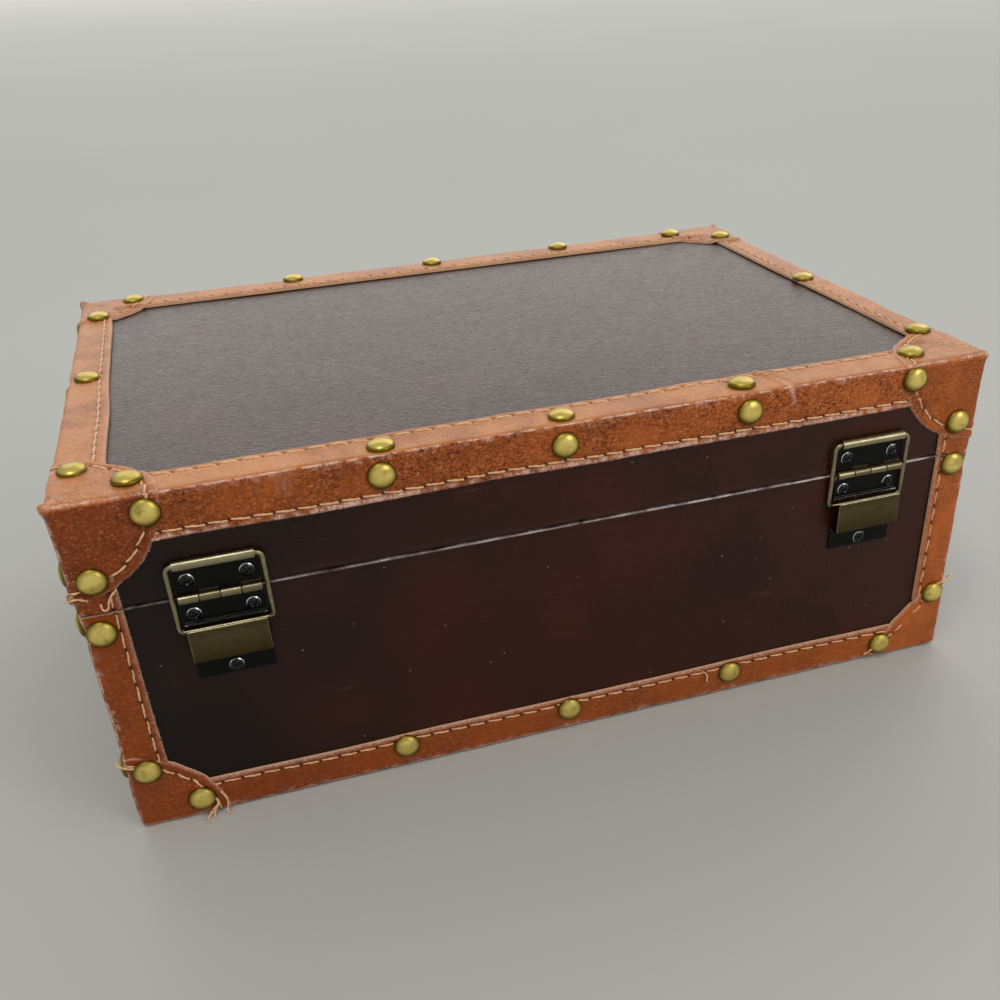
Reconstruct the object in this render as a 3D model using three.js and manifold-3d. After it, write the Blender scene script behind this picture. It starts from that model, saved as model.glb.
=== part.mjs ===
// A decorative trunk for papers and keepsakes: a boarded box and lid, covered
// in dark leatherette, edged with tan leather and domed nails, and hinged with
// two bronze stay hinges. Millimetres, +Z up, front on the -Y side, hinges on
// the +Y side, origin on the resting plane under the middle of the trunk.
import * as THREE from 'three';
import Module from 'manifold-3d';
import { RoundedBoxGeometry } from 'three/addons/geometries/RoundedBoxGeometry.js';
import { mergeVertices } from 'three/addons/utils/BufferGeometryUtils.js';

const wasm = await Module();
wasm.setup();

// Overall size, over the leather corner caps
const trunk_width = 330;
const trunk_depth = 229;
const trunk_height = 130;
const seam_gap = 0.6;

// Boards, cover, lining and leather
const wall_thickness = 8;
const floor_thickness = 6;
const top_thickness = 6;
const cover_thickness = 0.8;
const lining_thickness = 0.6;
const leather_thickness = 1.3;
const cap_stand = 0.7;
const glue_line = 0.1;

// Leather edging: how far each strip lies on its faces
const lid_edging_drop = 16.5;
const lid_edging_top_width = 18;
const lid_edging_end_width = 15;
const base_edging_rise = 14.5;
const base_edging_under_width = 15;
const post_edging_width = 14.5;
const edging_round = 2.8;

// Leather corner caps: lobes of one radius on each face of the corner
const lid_cap_radius = 34;
const base_cap_radius = 32;
const cap_round = 4;
const leather_gap = 0.3;
const cap_tail_share = 0.8;

// Domed upholstery nails
const nail_diameter = 9.5;
const nail_height = 2.9;
const nail_sink = 0.4;
const nail_edge_margin = 2.85;
const lid_cap_nail_margin = 1.75;
const base_cap_nail_margin = 2.25;
const row_nail_margin = 0.35;
const post_nail_margin = 1.25;
const long_row_nail_shares = [-0.2, 0, 0.2];
const short_row_nail_shares = [0];

// Stay hinges
const hinge_side_gap = 6.37;
const leaf_width = 26.8;
const leaf_thickness = 0.7;
const leaf_reach = 10.4;
const leaf_lip = 0.6;
const leaf_screw_margin = 3.8;
const barrel_diameter = 3.2;
const barrel_overhang = 0.2;
const barrel_wall_gap = 0.4;
const knuckle_count = 4;
const knuckle_gap = 0.3;
const hinge_pin_diameter = 1.5;
const pin_clearance = 0.1;
const roll_height = 12.4;
const roll_shoulder = 0.4;

// Wire bail of the stay, and the hood that its lower bar slides in
const wire_diameter = 1.8;
const wire_clearance = 0.15;
const bail_side_gap = 1;
const leaf_to_bar_gap = 1.7;
const bail_corner_radius = 3;
const wire_bevel = 0.55;
const hood_mouth_gap = 0.3;
const hood_thickness = 0.7;
const hood_foot_length = 8.76;
const foot_screw_from_end = 3.2;
const hood_bend = 0.8;
const stay_stop_degrees = 92;

// Screws
const screw_head_diameter = 4.9;
const screw_head_height = 1.3;
const screw_shank_diameter = 2.2;
const screw_length = 7.5;
const screw_clearance = 0.3;

// Hasp latch on the front
const latch_plate_width = 29;
const latch_plate_height = 11;
const latch_plate_rise = 3;
const latch_screw_margin = 3.5;
const latch_thickness = 0.8;
const latch_corner_radius = 2.5;
const hasp_pivot_rise = 4.6;
const hasp_screw_gap = 1.55;
const hasp_tip_margin = 5;
const hasp_end_gap = 0.5;
const hasp_knuckle_share = 0.46;
const staple_height = 6.4;
const staple_stand = 6;
const staple_wire = 1.6;
const staple_wire_bevel = 0.45;
const slot_clearance = 0.5;

// How far a cutting shape runs past what it cuts, and how finely rounds are drawn
const overrun = 5;
const round_steps = 2;
const tube_sides = 16;
const nail_sides = 10;
const shank_sides = 8;
const bend_steps = 4;
const swing_steps = 40;

// Layers of the trunk, as depths below the outside of the corner caps
const leather_inset = cap_stand;
const leather_back_inset = leather_inset + leather_thickness;
const cover_inset = leather_back_inset + glue_line;
const cover_back_inset = cover_inset + cover_thickness;
const board_inset = cover_back_inset + glue_line;
const board_back_inset = board_inset + wall_thickness;
const lining_inset = board_back_inset + glue_line;

// The lid is as tall as its edging and the hasp, folded up, need
const latch_screw_rise = latch_plate_rise + latch_plate_height / 2;
const latch_screw_spread = latch_plate_width - latch_screw_margin * 2;
const staple_drop = latch_screw_rise;
const hasp_width = latch_screw_spread - screw_head_diameter - hasp_screw_gap * 2;
const hasp_length = hasp_pivot_rise + staple_drop + hasp_tip_margin;
const lid_height = lid_edging_drop + hasp_pivot_rise + hasp_length + hasp_end_gap;
const seam_height = trunk_height - lid_height;

// Heights of the layers
const base_rim = seam_height - seam_gap / 2;
const lid_rim = seam_height + seam_gap / 2;
const cover_bottom = leather_thickness + glue_line;
const floor_bottom = cover_bottom + cover_thickness + glue_line;
const floor_top = floor_bottom + floor_thickness;
const base_wall_top = base_rim - cover_thickness - glue_line;
const lid_wall_bottom = lid_rim + cover_thickness + glue_line;
const lid_leather_top = trunk_height - leather_inset;
const lid_cover_top = trunk_height - cover_inset;
const lid_board_top = trunk_height - board_inset;
const lid_board_bottom = lid_board_top - top_thickness;

const half_width = trunk_width / 2;
const half_depth = trunk_depth / 2;

// Nails, from the edges of the leather that they hold
const nail_radius = nail_diameter / 2;
const nail_from_edge = nail_radius + nail_edge_margin;
const lid_cap_nail_reach = lid_cap_radius - nail_radius - lid_cap_nail_margin;
const base_cap_nail_reach = base_cap_radius - nail_radius - base_cap_nail_margin;
const base_row_nail_height = base_edging_rise - nail_radius - row_nail_margin;
const post_nail_drop = nail_radius + post_nail_margin;

// Stay hinge, from its leaf: x along the pin, y out from the wall, z up from the pin
const wire_radius = wire_diameter / 2;
const half_leaf = leaf_width / 2;
const half_barrel = half_leaf + barrel_overhang;
const half_roll = half_leaf - roll_shoulder;
const half_bail = half_leaf + bail_side_gap + wire_diameter;
const barrel_radius = barrel_diameter / 2;
const barrel_stand = barrel_radius + barrel_wall_gap;
const plate_edge = barrel_radius + knuckle_gap;
const roll_bore_radius = wire_radius + wire_clearance;
const roll_radius = roll_bore_radius + leaf_thickness;
const roll_start = roll_height - roll_radius;
const bail_reach = roll_height + leaf_reach + leaf_to_bar_gap + wire_radius;
const hood_mouth_drop = leaf_reach + hood_mouth_gap;

// The hinges stand clear of the lid's corner caps, where these pass the hinge's top
const hinge_top_drop = lid_height - roll_height - roll_radius;
const cap_reach = Math.sqrt(Math.max(0, lid_cap_radius ** 2 - hinge_top_drop ** 2));
const hinge_clear_of = Math.max(cap_reach, post_edging_width);
const hinge_x = half_width - hinge_clear_of - hinge_side_gap - half_bail;

const corners = [
  ['front_left', -1, -1],
  ['front_right', 1, -1],
  ['rear_left', -1, 1],
  ['rear_right', 1, 1],
];
const up = new THREE.Vector3(0, 0, 1);
const outward = new THREE.Vector3(0, 1, 0);

// Finishes
function finish(colour, roughness, metalness) {
  return () => new THREE.MeshStandardMaterial({ color: colour, roughness, metalness, flatShading: true });
}
const leatherette = finish(0x2e1814, 0.42, 0);
const tan_leather = finish(0xa25a2a, 0.5, 0);
const fibreboard = finish(0xb08a5e, 0.8, 0);
const lining_cloth = finish(0x4a2620, 0.95, 0);
const antique_bronze = finish(0x6a603a, 0.4, 0.9);
const blackened_steel = finish(0x1c1d1c, 0.35, 0.8);

// A closed solid, ready to be joined or cut, from a geometry
function solid(geometry) {
  const bare = geometry.clone();
  bare.deleteAttribute('normal');
  bare.deleteAttribute('uv');
  const merged = mergeVertices(bare);
  const index = merged.index.array;
  const triangles = [];
  for (let i = 0; i < index.length; i += 3) {
    const [a, b, c] = [index[i], index[i + 1], index[i + 2]];
    if (a !== b && b !== c && c !== a) triangles.push(a, b, c);
  }
  return new wasm.Manifold(new wasm.Mesh({
    numProp: 3,
    vertProperties: new Float32Array(merged.attributes.position.array),
    triVerts: new Uint32Array(triangles),
  }));
}

// The geometry of a joined or cut solid
function surface(body) {
  const mesh = body.getMesh();
  const geometry = new THREE.BufferGeometry();
  geometry.setAttribute('position', new THREE.BufferAttribute(mesh.vertProperties, 3));
  geometry.setIndex(new THREE.BufferAttribute(mesh.triVerts, 1));
  geometry.computeVertexNormals();
  return geometry;
}

// A box between two corners
function block(x0, x1, y0, y1, z0, z1) {
  const geometry = new THREE.BoxGeometry(x1 - x0, y1 - y0, z1 - z0);
  geometry.translate((x0 + x1) / 2, (y0 + y1) / 2, (z0 + z1) / 2);
  return geometry;
}

// A box that stands inside the trunk's outline by an inset, from z0 to z1
function layer(inset, z0, z1) {
  const x = half_width - inset;
  const y = half_depth - inset;
  return solid(block(-x, x, -y, y, z0, z1));
}

// The same with its edges rounded
function rounded_layer(inset, z0, z1, radius) {
  const width = trunk_width - inset * 2;
  const depth = trunk_depth - inset * 2;
  const geometry = new RoundedBoxGeometry(width, depth, z1 - z0, round_steps, radius);
  geometry.translate(0, 0, (z0 + z1) / 2);
  return solid(geometry);
}

// A ball round a corner of the trunk, which gives each face a quarter-round lobe
function corner_ball(side_x, side_y, height, radius) {
  const geometry = new THREE.SphereGeometry(radius, tube_sides * 2, tube_sides);
  geometry.translate(side_x * half_width, side_y * half_depth, height);
  return solid(geometry);
}

// A turned solid: its profile is [radius, height] pairs, its axis points along the
// given direction and its zero height lies at the given place
function turned(profile, sides, direction, place) {
  const points = profile.map(([radius, height]) => new THREE.Vector2(radius, height));
  const geometry = new THREE.LatheGeometry(points, sides);
  geometry.applyQuaternion(new THREE.Quaternion().setFromUnitVectors(outward, direction));
  geometry.translate(place.x, place.y, place.z);
  return geometry;
}

// A dome profile, from its foot at radius and height 0 up to its crown
function dome(radius, height) {
  const ball = (radius * radius + height * height) / (height * 2);
  const half_angle = Math.asin(radius / ball);
  const points = [];
  for (let i = 0; i <= round_steps; i += 1) {
    const angle = half_angle * (1 - i / round_steps);
    points.push([ball * Math.sin(angle), ball * Math.cos(angle) - ball + height]);
  }
  points[round_steps][0] = 0;
  return points;
}

// A nail's domed head on a face
function nail(x, y, z, direction) {
  const profile = [[0, -nail_sink], [nail_radius, -nail_sink], ...dome(nail_radius, nail_height)];
  return solid(turned(profile, nail_sides, direction, new THREE.Vector3(x, y, z)));
}

// A round-headed screw: head above the face that it clamps, shank below
function screw_profile() {
  const shank = screw_shank_diameter / 2;
  return [
    [0, -screw_length],
    [shank, -screw_length],
    [shank, 0],
    ...dome(screw_head_diameter / 2, screw_head_height),
  ];
}

// A round hole for a screw's shank, along y, from one depth to another
function screw_hole(x, z, y0, y1) {
  const radius = screw_shank_diameter / 2 + screw_clearance;
  const geometry = new THREE.CylinderGeometry(radius, radius, y1 - y0, shank_sides);
  geometry.translate(x, (y0 + y1) / 2, z);
  return solid(geometry);
}

// A profile drawn in y and z, drawn out along x and centred on x = middle
function drawn_along_x(shape, length, middle) {
  const geometry = new THREE.ExtrudeGeometry(shape, {
    depth: length,
    bevelEnabled: false,
    curveSegments: tube_sides,
  });
  geometry.translate(0, 0, middle - length / 2);
  geometry.applyMatrix4(new THREE.Matrix4().makeBasis(
    new THREE.Vector3(0, 1, 0),
    new THREE.Vector3(0, 0, 1),
    new THREE.Vector3(1, 0, 0),
  ));
  return solid(geometry);
}

// A round bar along x
function bar_along_x(radius, y, z, x0, x1) {
  const geometry = new THREE.CylinderGeometry(radius, radius, x1 - x0, tube_sides);
  geometry.rotateZ(Math.PI / 2);
  geometry.translate((x0 + x1) / 2, y, z);
  return solid(geometry);
}

// A rectangle with round corners, as a path or a shape
function rounded_rectangle(outline, x0, x1, y0, y1, radius) {
  outline.moveTo(x0 + radius, y0);
  outline.lineTo(x1 - radius, y0);
  outline.absarc(x1 - radius, y0 + radius, radius, -Math.PI / 2, 0, false);
  outline.lineTo(x1, y1 - radius);
  outline.absarc(x1 - radius, y1 - radius, radius, 0, Math.PI / 2, false);
  outline.lineTo(x0 + radius, y1);
  outline.absarc(x0 + radius, y1 - radius, radius, Math.PI / 2, Math.PI, false);
  outline.lineTo(x0, y0 + radius);
  outline.absarc(x0 + radius, y0 + radius, radius, Math.PI, Math.PI * 1.5, false);
  return outline;
}

// A ring of round-edged wire, bent to a rectangle in its own x and y plane
function wire_ring(x0, x1, y0, y1, wire, bevel, radius) {
  const outer = bevel;
  const inner = wire - bevel;
  const ring = rounded_rectangle(
    new THREE.Shape(), x0 + outer, x1 - outer, y0 + outer, y1 - outer, radius - outer);
  ring.holes.push(rounded_rectangle(
    new THREE.Path(), x0 + inner, x1 - inner, y0 + inner, y1 - inner, radius - inner));
  const geometry = new THREE.ExtrudeGeometry(ring, {
    depth: wire - bevel * 2,
    bevelThickness: bevel,
    bevelSize: bevel,
    bevelSegments: 1,
    curveSegments: bend_steps,
  });
  geometry.translate(0, 0, bevel - wire / 2);
  return geometry;
}

// A plate with round corners that lies on a wall: x by z, from the wall outwards
function wall_plate(x0, x1, z0, z1, thickness, radius) {
  const shape = rounded_rectangle(new THREE.Shape(), x0, x1, z0, z1, radius);
  const geometry = new THREE.ExtrudeGeometry(shape, {
    depth: thickness,
    bevelEnabled: false,
    curveSegments: bend_steps,
  });
  geometry.rotateX(Math.PI / 2);
  geometry.translate(0, thickness, 0);
  return solid(geometry);
}

// Adds a named part to a group
function add(group, name, geometry, material) {
  const mesh = new THREE.Mesh(geometry, material());
  mesh.name = name;
  group.add(mesh);
  return mesh;
}

// Where the roll is with the lid open by a share of its whole swing
function roll_place(share) {
  const angle = THREE.MathUtils.degToRad(stay_stop_degrees) * share;
  const offset = roll_radius - barrel_stand;
  return {
    y: barrel_stand + offset * Math.cos(angle) + roll_height * Math.sin(angle),
    z: roll_height * Math.cos(angle) - offset * Math.sin(angle),
  };
}

// How far the bail leans, shut and open to its stop, with its bar against the wall
function bail_lean(share) {
  return Math.asin((roll_place(share).y - roll_bore_radius) / bail_reach);
}

// Where the bail's lower bar is, its lean growing evenly with the lid's swing
function bar_place(share) {
  const lean = THREE.MathUtils.lerp(bail_lean(0), bail_lean(1), share);
  const roll = roll_place(share);
  return { y: roll.y - bail_reach * Math.sin(lean), z: roll.z - bail_reach * Math.cos(lean) };
}

// How far the bar swings out from the wall on its way
function widest_bar_stand() {
  let widest = 0;
  for (let step = 0; step <= swing_steps; step += 1) {
    widest = Math.max(widest, bar_place(step / swing_steps).y);
  }
  return widest;
}

// The hood's pocket, which the bail's bar swings in, and its foot below
const hood_back = widest_bar_stand() + roll_bore_radius;
const hood_front = hood_back + hood_thickness;
const hood_floor = bar_place(1).z - roll_bore_radius;
const hood_under = hood_floor - hood_thickness;
const hood_foot = hood_under - hood_foot_length;

// The screws of each hinge as [name, x, z, body], and the screws of the latch
const hinge_screws = [];
for (const [side, direction] of [['left', -1], ['right', 1]]) {
  const x = direction * (half_leaf - leaf_screw_margin);
  hinge_screws.push([`upper_${side}`, x, (plate_edge + roll_start) / 2, 'lid']);
  hinge_screws.push([`lower_${side}`, x, leaf_screw_margin - leaf_reach, 'base']);
}
hinge_screws.push(['foot', 0, hood_foot + foot_screw_from_end, 'base']);

const latch_screws = [-1, 1].map((side) => side * latch_screw_spread / 2);

// Cuts the shank holes of one body's hinge and latch screws
function drilled(body, owner) {
  let result = body;
  const outer = half_depth;
  const inner = half_depth - cover_inset - screw_length;
  for (const middle of [-hinge_x, hinge_x]) {
    for (const [, x, z, holder] of hinge_screws) {
      if (holder === owner) {
        result = result.subtract(screw_hole(middle + x, seam_height + z, inner, outer));
      }
    }
  }
  const latch_z = owner === 'lid' ? latch_screw_rise : -staple_drop;
  for (const x of latch_screws) {
    result = result.subtract(screw_hole(x, seam_height + latch_z, -outer, -inner));
  }
  return result;
}

// Four walls of boards round a hollow, front and rear running the full width
function add_walls(group, owner, z0, z1) {
  const x = half_width - board_inset;
  const y = half_depth - board_inset;
  const inner_x = half_width - board_back_inset;
  const inner_y = half_depth - board_back_inset;
  const side_y = inner_y - glue_line;
  const front = solid(block(-x, x, -y, -inner_y, z0, z1));
  const rear = solid(block(-x, x, inner_y, y, z0, z1));
  add(group, `${owner}_wall_front`, surface(drilled(front, owner)), fibreboard);
  add(group, `${owner}_wall_rear`, surface(drilled(rear, owner)), fibreboard);
  add(group, `${owner}_wall_left`, block(-x, -inner_x, -side_y, side_y, z0, z1), fibreboard);
  add(group, `${owner}_wall_right`, block(inner_x, x, -side_y, side_y, z0, z1), fibreboard);
}

// A flat sheet or board that fills the outline inside an inset
function add_sheet(group, name, inset, z0, z1, material) {
  const x = half_width - inset;
  const y = half_depth - inset;
  add(group, name, block(-x, x, -y, y, z0, z1), material);
}

// Names and sides of the four edges: the wall that each one follows
const edges = [
  ['front', 0, -1],
  ['rear', 0, 1],
  ['left', -1, 0],
  ['right', 1, 0],
];

// The part of space that an edging strip covers along one edge, between two heights
function edge_zone(side_x, side_y, width, z0, z1) {
  const far = overrun;
  if (side_x === 0) {
    const y0 = half_depth - width;
    const y1 = half_depth + far;
    const x = half_width + far;
    return solid(side_y > 0 ? block(-x, x, y0, y1, z0, z1) : block(-x, x, -y1, -y0, z0, z1));
  }
  const x0 = half_width - width;
  const x1 = half_width + far;
  const y = half_depth + far;
  return solid(side_x > 0 ? block(x0, x1, -y, y, z0, z1) : block(-x1, -x0, -y, y, z0, z1));
}

// The part of space round one upright corner edge
function post_zone(side_x, side_y, width, z0, z1) {
  const xs = [side_x * (half_width - width), side_x * (half_width + overrun)].sort((a, b) => a - b);
  const ys = [side_y * (half_depth - width), side_y * (half_depth + overrun)].sort((a, b) => a - b);
  return solid(block(xs[0], xs[1], ys[0], ys[1], z0, z1));
}

// The nails in the wall leg of one edge, evenly placed along it
function row_nails(side_x, side_y, height) {
  const shares = side_x === 0 ? long_row_nail_shares : short_row_nail_shares;
  const direction = new THREE.Vector3(side_x, side_y, 0);
  return shares.map((share) => nail(
    side_x === 0 ? share * trunk_width : side_x * (half_width - leather_inset),
    side_y === 0 ? share * trunk_depth : side_y * (half_depth - leather_inset),
    height,
    direction,
  ));
}

// The nails in the top leg of one edge of the lid
function top_row_nails(side_x, side_y) {
  const shares = side_x === 0 ? long_row_nail_shares : short_row_nail_shares;
  return shares.map((share) => nail(
    side_x === 0 ? share * trunk_width : side_x * (half_width - nail_from_edge),
    side_y === 0 ? share * trunk_depth : side_y * (half_depth - nail_from_edge),
    lid_leather_top,
    up,
  ));
}

// The nails of a cap's two wall lobes: one by the upright edge, one by the level edge
function cap_wall_nails(side_x, side_y, edge_height, downward, reach) {
  const near = edge_height + downward * nail_from_edge;
  const far = edge_height + downward * reach;
  const to_x = new THREE.Vector3(side_x, 0, 0);
  const to_y = new THREE.Vector3(0, side_y, 0);
  const x = side_x * half_width;
  const y = side_y * half_depth;
  return [
    nail(x, y - side_y * nail_from_edge, far, to_x),
    nail(x, y - side_y * reach, near, to_x),
    nail(x - side_x * nail_from_edge, y, far, to_y),
    nail(x - side_x * reach, y, near, to_y),
  ];
}

function joined(body, pieces) {
  return pieces.reduce((whole, piece) => whole.add(piece), body);
}

// Base: boards, cover, lining and leather
function make_base() {
  const base = new THREE.Group();

  add_sheet(base, 'base_floor_board', board_inset, floor_bottom, floor_top, fibreboard);
  add_walls(base, 'base', floor_top + glue_line, base_wall_top);

  const wrap = layer(cover_inset, cover_bottom, base_rim)
    .subtract(layer(cover_back_inset, cover_bottom - overrun, base_rim - cover_thickness))
    .subtract(layer(board_back_inset, cover_bottom, base_rim + overrun));
  add(base, 'base_side_cover', surface(drilled(wrap, 'base')), leatherette);
  const under = cover_back_inset + glue_line;
  add_sheet(base, 'base_bottom_cover', under, cover_bottom, cover_bottom + cover_thickness, leatherette);

  const lining_floor = floor_top + glue_line;
  const lining = layer(lining_inset, lining_floor, base_rim)
    .subtract(layer(lining_inset + lining_thickness, lining_floor + lining_thickness, base_rim + overrun));
  add(base, 'base_lining', surface(lining), lining_cloth);

  const shell_top = base_rim + overrun * 2;
  const core = layer(leather_back_inset, leather_thickness, shell_top + overrun);
  const strip_shell = rounded_layer(leather_inset, 0, shell_top, edging_round).subtract(core);
  const cap_shell = rounded_layer(0, 0, shell_top, cap_round).subtract(core);

  for (const [edge, side_x, side_y] of edges) {
    const width = base_edging_under_width;
    let strip = strip_shell.intersect(edge_zone(side_x, side_y, width, -overrun, base_edging_rise));
    for (const [, corner_x, corner_y] of corners) {
      strip = strip.subtract(corner_ball(corner_x, corner_y, 0, base_cap_radius + leather_gap));
    }
    strip = joined(strip, row_nails(side_x, side_y, base_row_nail_height));
    add(base, `base_edging_${edge}`, surface(strip), tan_leather);
  }
  for (const [corner, side_x, side_y] of corners) {
    let post = strip_shell
      .intersect(post_zone(side_x, side_y, post_edging_width, 0, base_rim))
      .subtract(corner_ball(side_x, side_y, 0, base_cap_radius + leather_gap));
    const nail_z = base_rim - post_nail_drop;
    post = joined(post, [
      nail(side_x * (half_width - leather_inset), side_y * (half_depth - nail_from_edge), nail_z,
        new THREE.Vector3(side_x, 0, 0)),
      nail(side_x * (half_width - nail_from_edge), side_y * (half_depth - leather_inset), nail_z,
        new THREE.Vector3(0, side_y, 0)),
    ]);
    add(base, `base_post_edging_${corner}`, surface(post), tan_leather);

    const cap = cap_shell.intersect(corner_ball(side_x, side_y, 0, base_cap_radius));
    const nails = cap_wall_nails(side_x, side_y, 0, 1, base_cap_nail_reach);
    add(base, `base_corner_cap_${corner}`, surface(joined(cap, nails)), tan_leather);
  }
  return base;
}

// Lid: boards, cover, lining and leather
function make_lid() {
  const lid = new THREE.Group();

  add_sheet(lid, 'lid_top_board', board_inset, lid_board_bottom, lid_board_top, fibreboard);
  add_walls(lid, 'lid', lid_wall_bottom, lid_board_bottom - glue_line);

  const wrap = layer(cover_inset, lid_rim, lid_cover_top)
    .subtract(layer(cover_back_inset, lid_rim + cover_thickness, lid_cover_top + overrun))
    .subtract(layer(board_back_inset, lid_rim - overrun, lid_cover_top));
  add(lid, 'lid_side_cover', surface(drilled(wrap, 'lid')), leatherette);
  const inside = cover_back_inset + glue_line;
  add_sheet(lid, 'lid_top_cover', inside, lid_cover_top - cover_thickness, lid_cover_top, leatherette);

  const lining_top = lid_board_bottom - glue_line;
  const lining = layer(lining_inset, lid_rim, lining_top)
    .subtract(layer(lining_inset + lining_thickness, lid_rim - overrun, lining_top - lining_thickness));
  add(lid, 'lid_lining', surface(lining), lining_cloth);

  const shell_bottom = lid_rim - overrun * 2;
  const core = layer(leather_back_inset, shell_bottom - overrun, trunk_height - leather_back_inset);
  const strip_shell = rounded_layer(leather_inset, shell_bottom, lid_leather_top, edging_round)
    .subtract(core);
  const cap_shell = rounded_layer(0, shell_bottom, trunk_height, cap_round).subtract(core);

  const strip_bottom = trunk_height - lid_edging_drop;
  const strip_top = trunk_height + overrun;
  for (const [edge, side_x, side_y] of edges) {
    const width = side_x === 0 ? lid_edging_top_width : lid_edging_end_width;
    const zone = edge_zone(side_x, side_y, width, strip_bottom, strip_top);
    let strip = strip_shell.intersect(zone);
    for (const [, corner_x, corner_y] of corners) {
      const ball = corner_ball(corner_x, corner_y, trunk_height, lid_cap_radius + leather_gap);
      strip = strip.subtract(ball);
    }
    strip = joined(strip, row_nails(side_x, side_y, trunk_height - nail_from_edge));
    strip = joined(strip, top_row_nails(side_x, side_y));
    add(lid, `lid_edging_${edge}`, surface(strip), tan_leather);
  }
  for (const [corner, side_x, side_y] of corners) {
    const tail_top = trunk_height - lid_cap_radius * cap_tail_share;
    const tail = strip_shell
      .intersect(post_zone(side_x, side_y, post_edging_width, lid_rim, tail_top));
    const lobes = cap_shell
      .intersect(corner_ball(side_x, side_y, trunk_height, lid_cap_radius))
      .intersect(post_zone(side_x, side_y, lid_cap_radius, lid_rim, strip_top));
    const near = nail_from_edge;
    const reach = lid_cap_nail_reach;
    const nails = [
      ...cap_wall_nails(side_x, side_y, trunk_height, -1, reach),
      nail(side_x * (half_width - near), side_y * (half_depth - reach), trunk_height, up),
      nail(side_x * (half_width - reach), side_y * (half_depth - near), trunk_height, up),
    ];
    add(lid, `lid_corner_cap_${corner}`, surface(joined(lobes.add(tail), nails)), tan_leather);
  }
  return lid;
}

// The barrel's share that belongs to one leaf: its knuckles, joined to the plate
function knuckles(first, edge) {
  const pitch = half_barrel * 2 / knuckle_count;
  const pieces = [];
  for (let index = first; index < knuckle_count; index += 2) {
    const x0 = -half_barrel + pitch * index + knuckle_gap / 2;
    const x1 = x0 + pitch - knuckle_gap;
    pieces.push(bar_along_x(barrel_radius, barrel_stand, 0, x0, x1));
    const z0 = Math.min(0, edge);
    const z1 = Math.max(0, edge);
    pieces.push(solid(block(x0, x1, 0, leaf_thickness, z0, z1)));
  }
  return pieces;
}

function make_hinge(hinge_name, middle, base, lid) {
  const seat = new THREE.Vector3(middle, half_depth - cover_inset + glue_line, seam_height);
  const on_base = new THREE.Group();
  const on_lid = new THREE.Group();
  on_base.position.copy(seat);
  on_lid.position.copy(seat);
  base.add(on_base);
  lid.add(on_lid);

  const bore_radius = hinge_pin_diameter / 2 + pin_clearance;
  const bore = bar_along_x(
    bore_radius, barrel_stand, 0, -half_barrel - overrun, half_barrel + overrun);

  let upper = solid(block(-half_leaf, half_leaf, 0, leaf_thickness, plate_edge, roll_start));
  upper = upper.add(solid(block(-half_roll, half_roll, 0, leaf_thickness, plate_edge, roll_height)));
  upper = upper.add(bar_along_x(roll_radius, roll_radius, roll_height, -half_roll, half_roll));
  upper = joined(upper, knuckles(0, plate_edge));
  upper = upper.subtract(bar_along_x(
    roll_bore_radius, roll_radius, roll_height, -half_leaf - overrun, half_leaf + overrun)).subtract(bore);

  let lower = solid(block(-half_leaf, half_leaf, 0, leaf_thickness, -leaf_reach, -plate_edge));
  lower = lower.add(solid(block(
    -half_leaf, half_leaf, 0, leaf_thickness + leaf_lip, -leaf_reach, -leaf_reach + leaf_thickness)));
  lower = joined(lower, knuckles(1, -plate_edge));
  lower = lower.subtract(bore);

  const hood_profile = new THREE.Shape();
  hood_profile.moveTo(hood_back, -hood_mouth_drop);
  hood_profile.lineTo(hood_back, hood_floor);
  hood_profile.lineTo(0, hood_floor);
  hood_profile.lineTo(0, hood_foot);
  hood_profile.lineTo(leaf_thickness, hood_foot);
  hood_profile.lineTo(leaf_thickness, hood_under);
  hood_profile.lineTo(hood_front - hood_bend, hood_under);
  hood_profile.lineTo(hood_front, hood_under + hood_bend);
  hood_profile.lineTo(hood_front, -hood_mouth_drop);
  hood_profile.closePath();
  let hood = drawn_along_x(hood_profile, half_roll * 2, 0);

  for (const [, x, z] of hinge_screws) {
    const hole = screw_hole(x, z, -overrun, leaf_thickness + overrun);
    if (z > 0) upper = upper.subtract(hole);
    else if (z < -leaf_reach) hood = hood.subtract(screw_hole(x, z, -overrun, hood_back));
    else lower = lower.subtract(hole);
  }

  add(on_lid, `${hinge_name}_upper_leaf`, surface(upper), blackened_steel);
  add(on_base, `${hinge_name}_lower_leaf`, surface(lower), blackened_steel);
  add(on_base, `${hinge_name}_stay_hood`, surface(hood), antique_bronze);
  const pin_radius = hinge_pin_diameter / 2;
  add(on_base, `${hinge_name}_pin`,
    surface(bar_along_x(pin_radius, barrel_stand, 0, -half_barrel, half_barrel)), antique_bronze);

  const ring = wire_ring(
    -half_bail, half_bail, -bail_reach - wire_radius, wire_radius,
    wire_diameter, wire_bevel, bail_corner_radius);
  ring.rotateX(Math.PI / 2);
  const bail = add(on_lid, `${hinge_name}_bail`, ring, antique_bronze);
  bail.position.set(0, roll_radius, roll_height);
  bail.rotation.x = -bail_lean(0);

  for (const [place, x, z, holder] of hinge_screws) {
    const seat_at = new THREE.Vector3(0, 0, 0);
    const screw = add(holder === 'lid' ? on_lid : on_base, `${hinge_name}_screw_${place}`,
      turned(screw_profile(), shank_sides, outward, seat_at), blackened_steel);
    screw.position.set(x, leaf_thickness + glue_line, z);
  }
}

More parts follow.
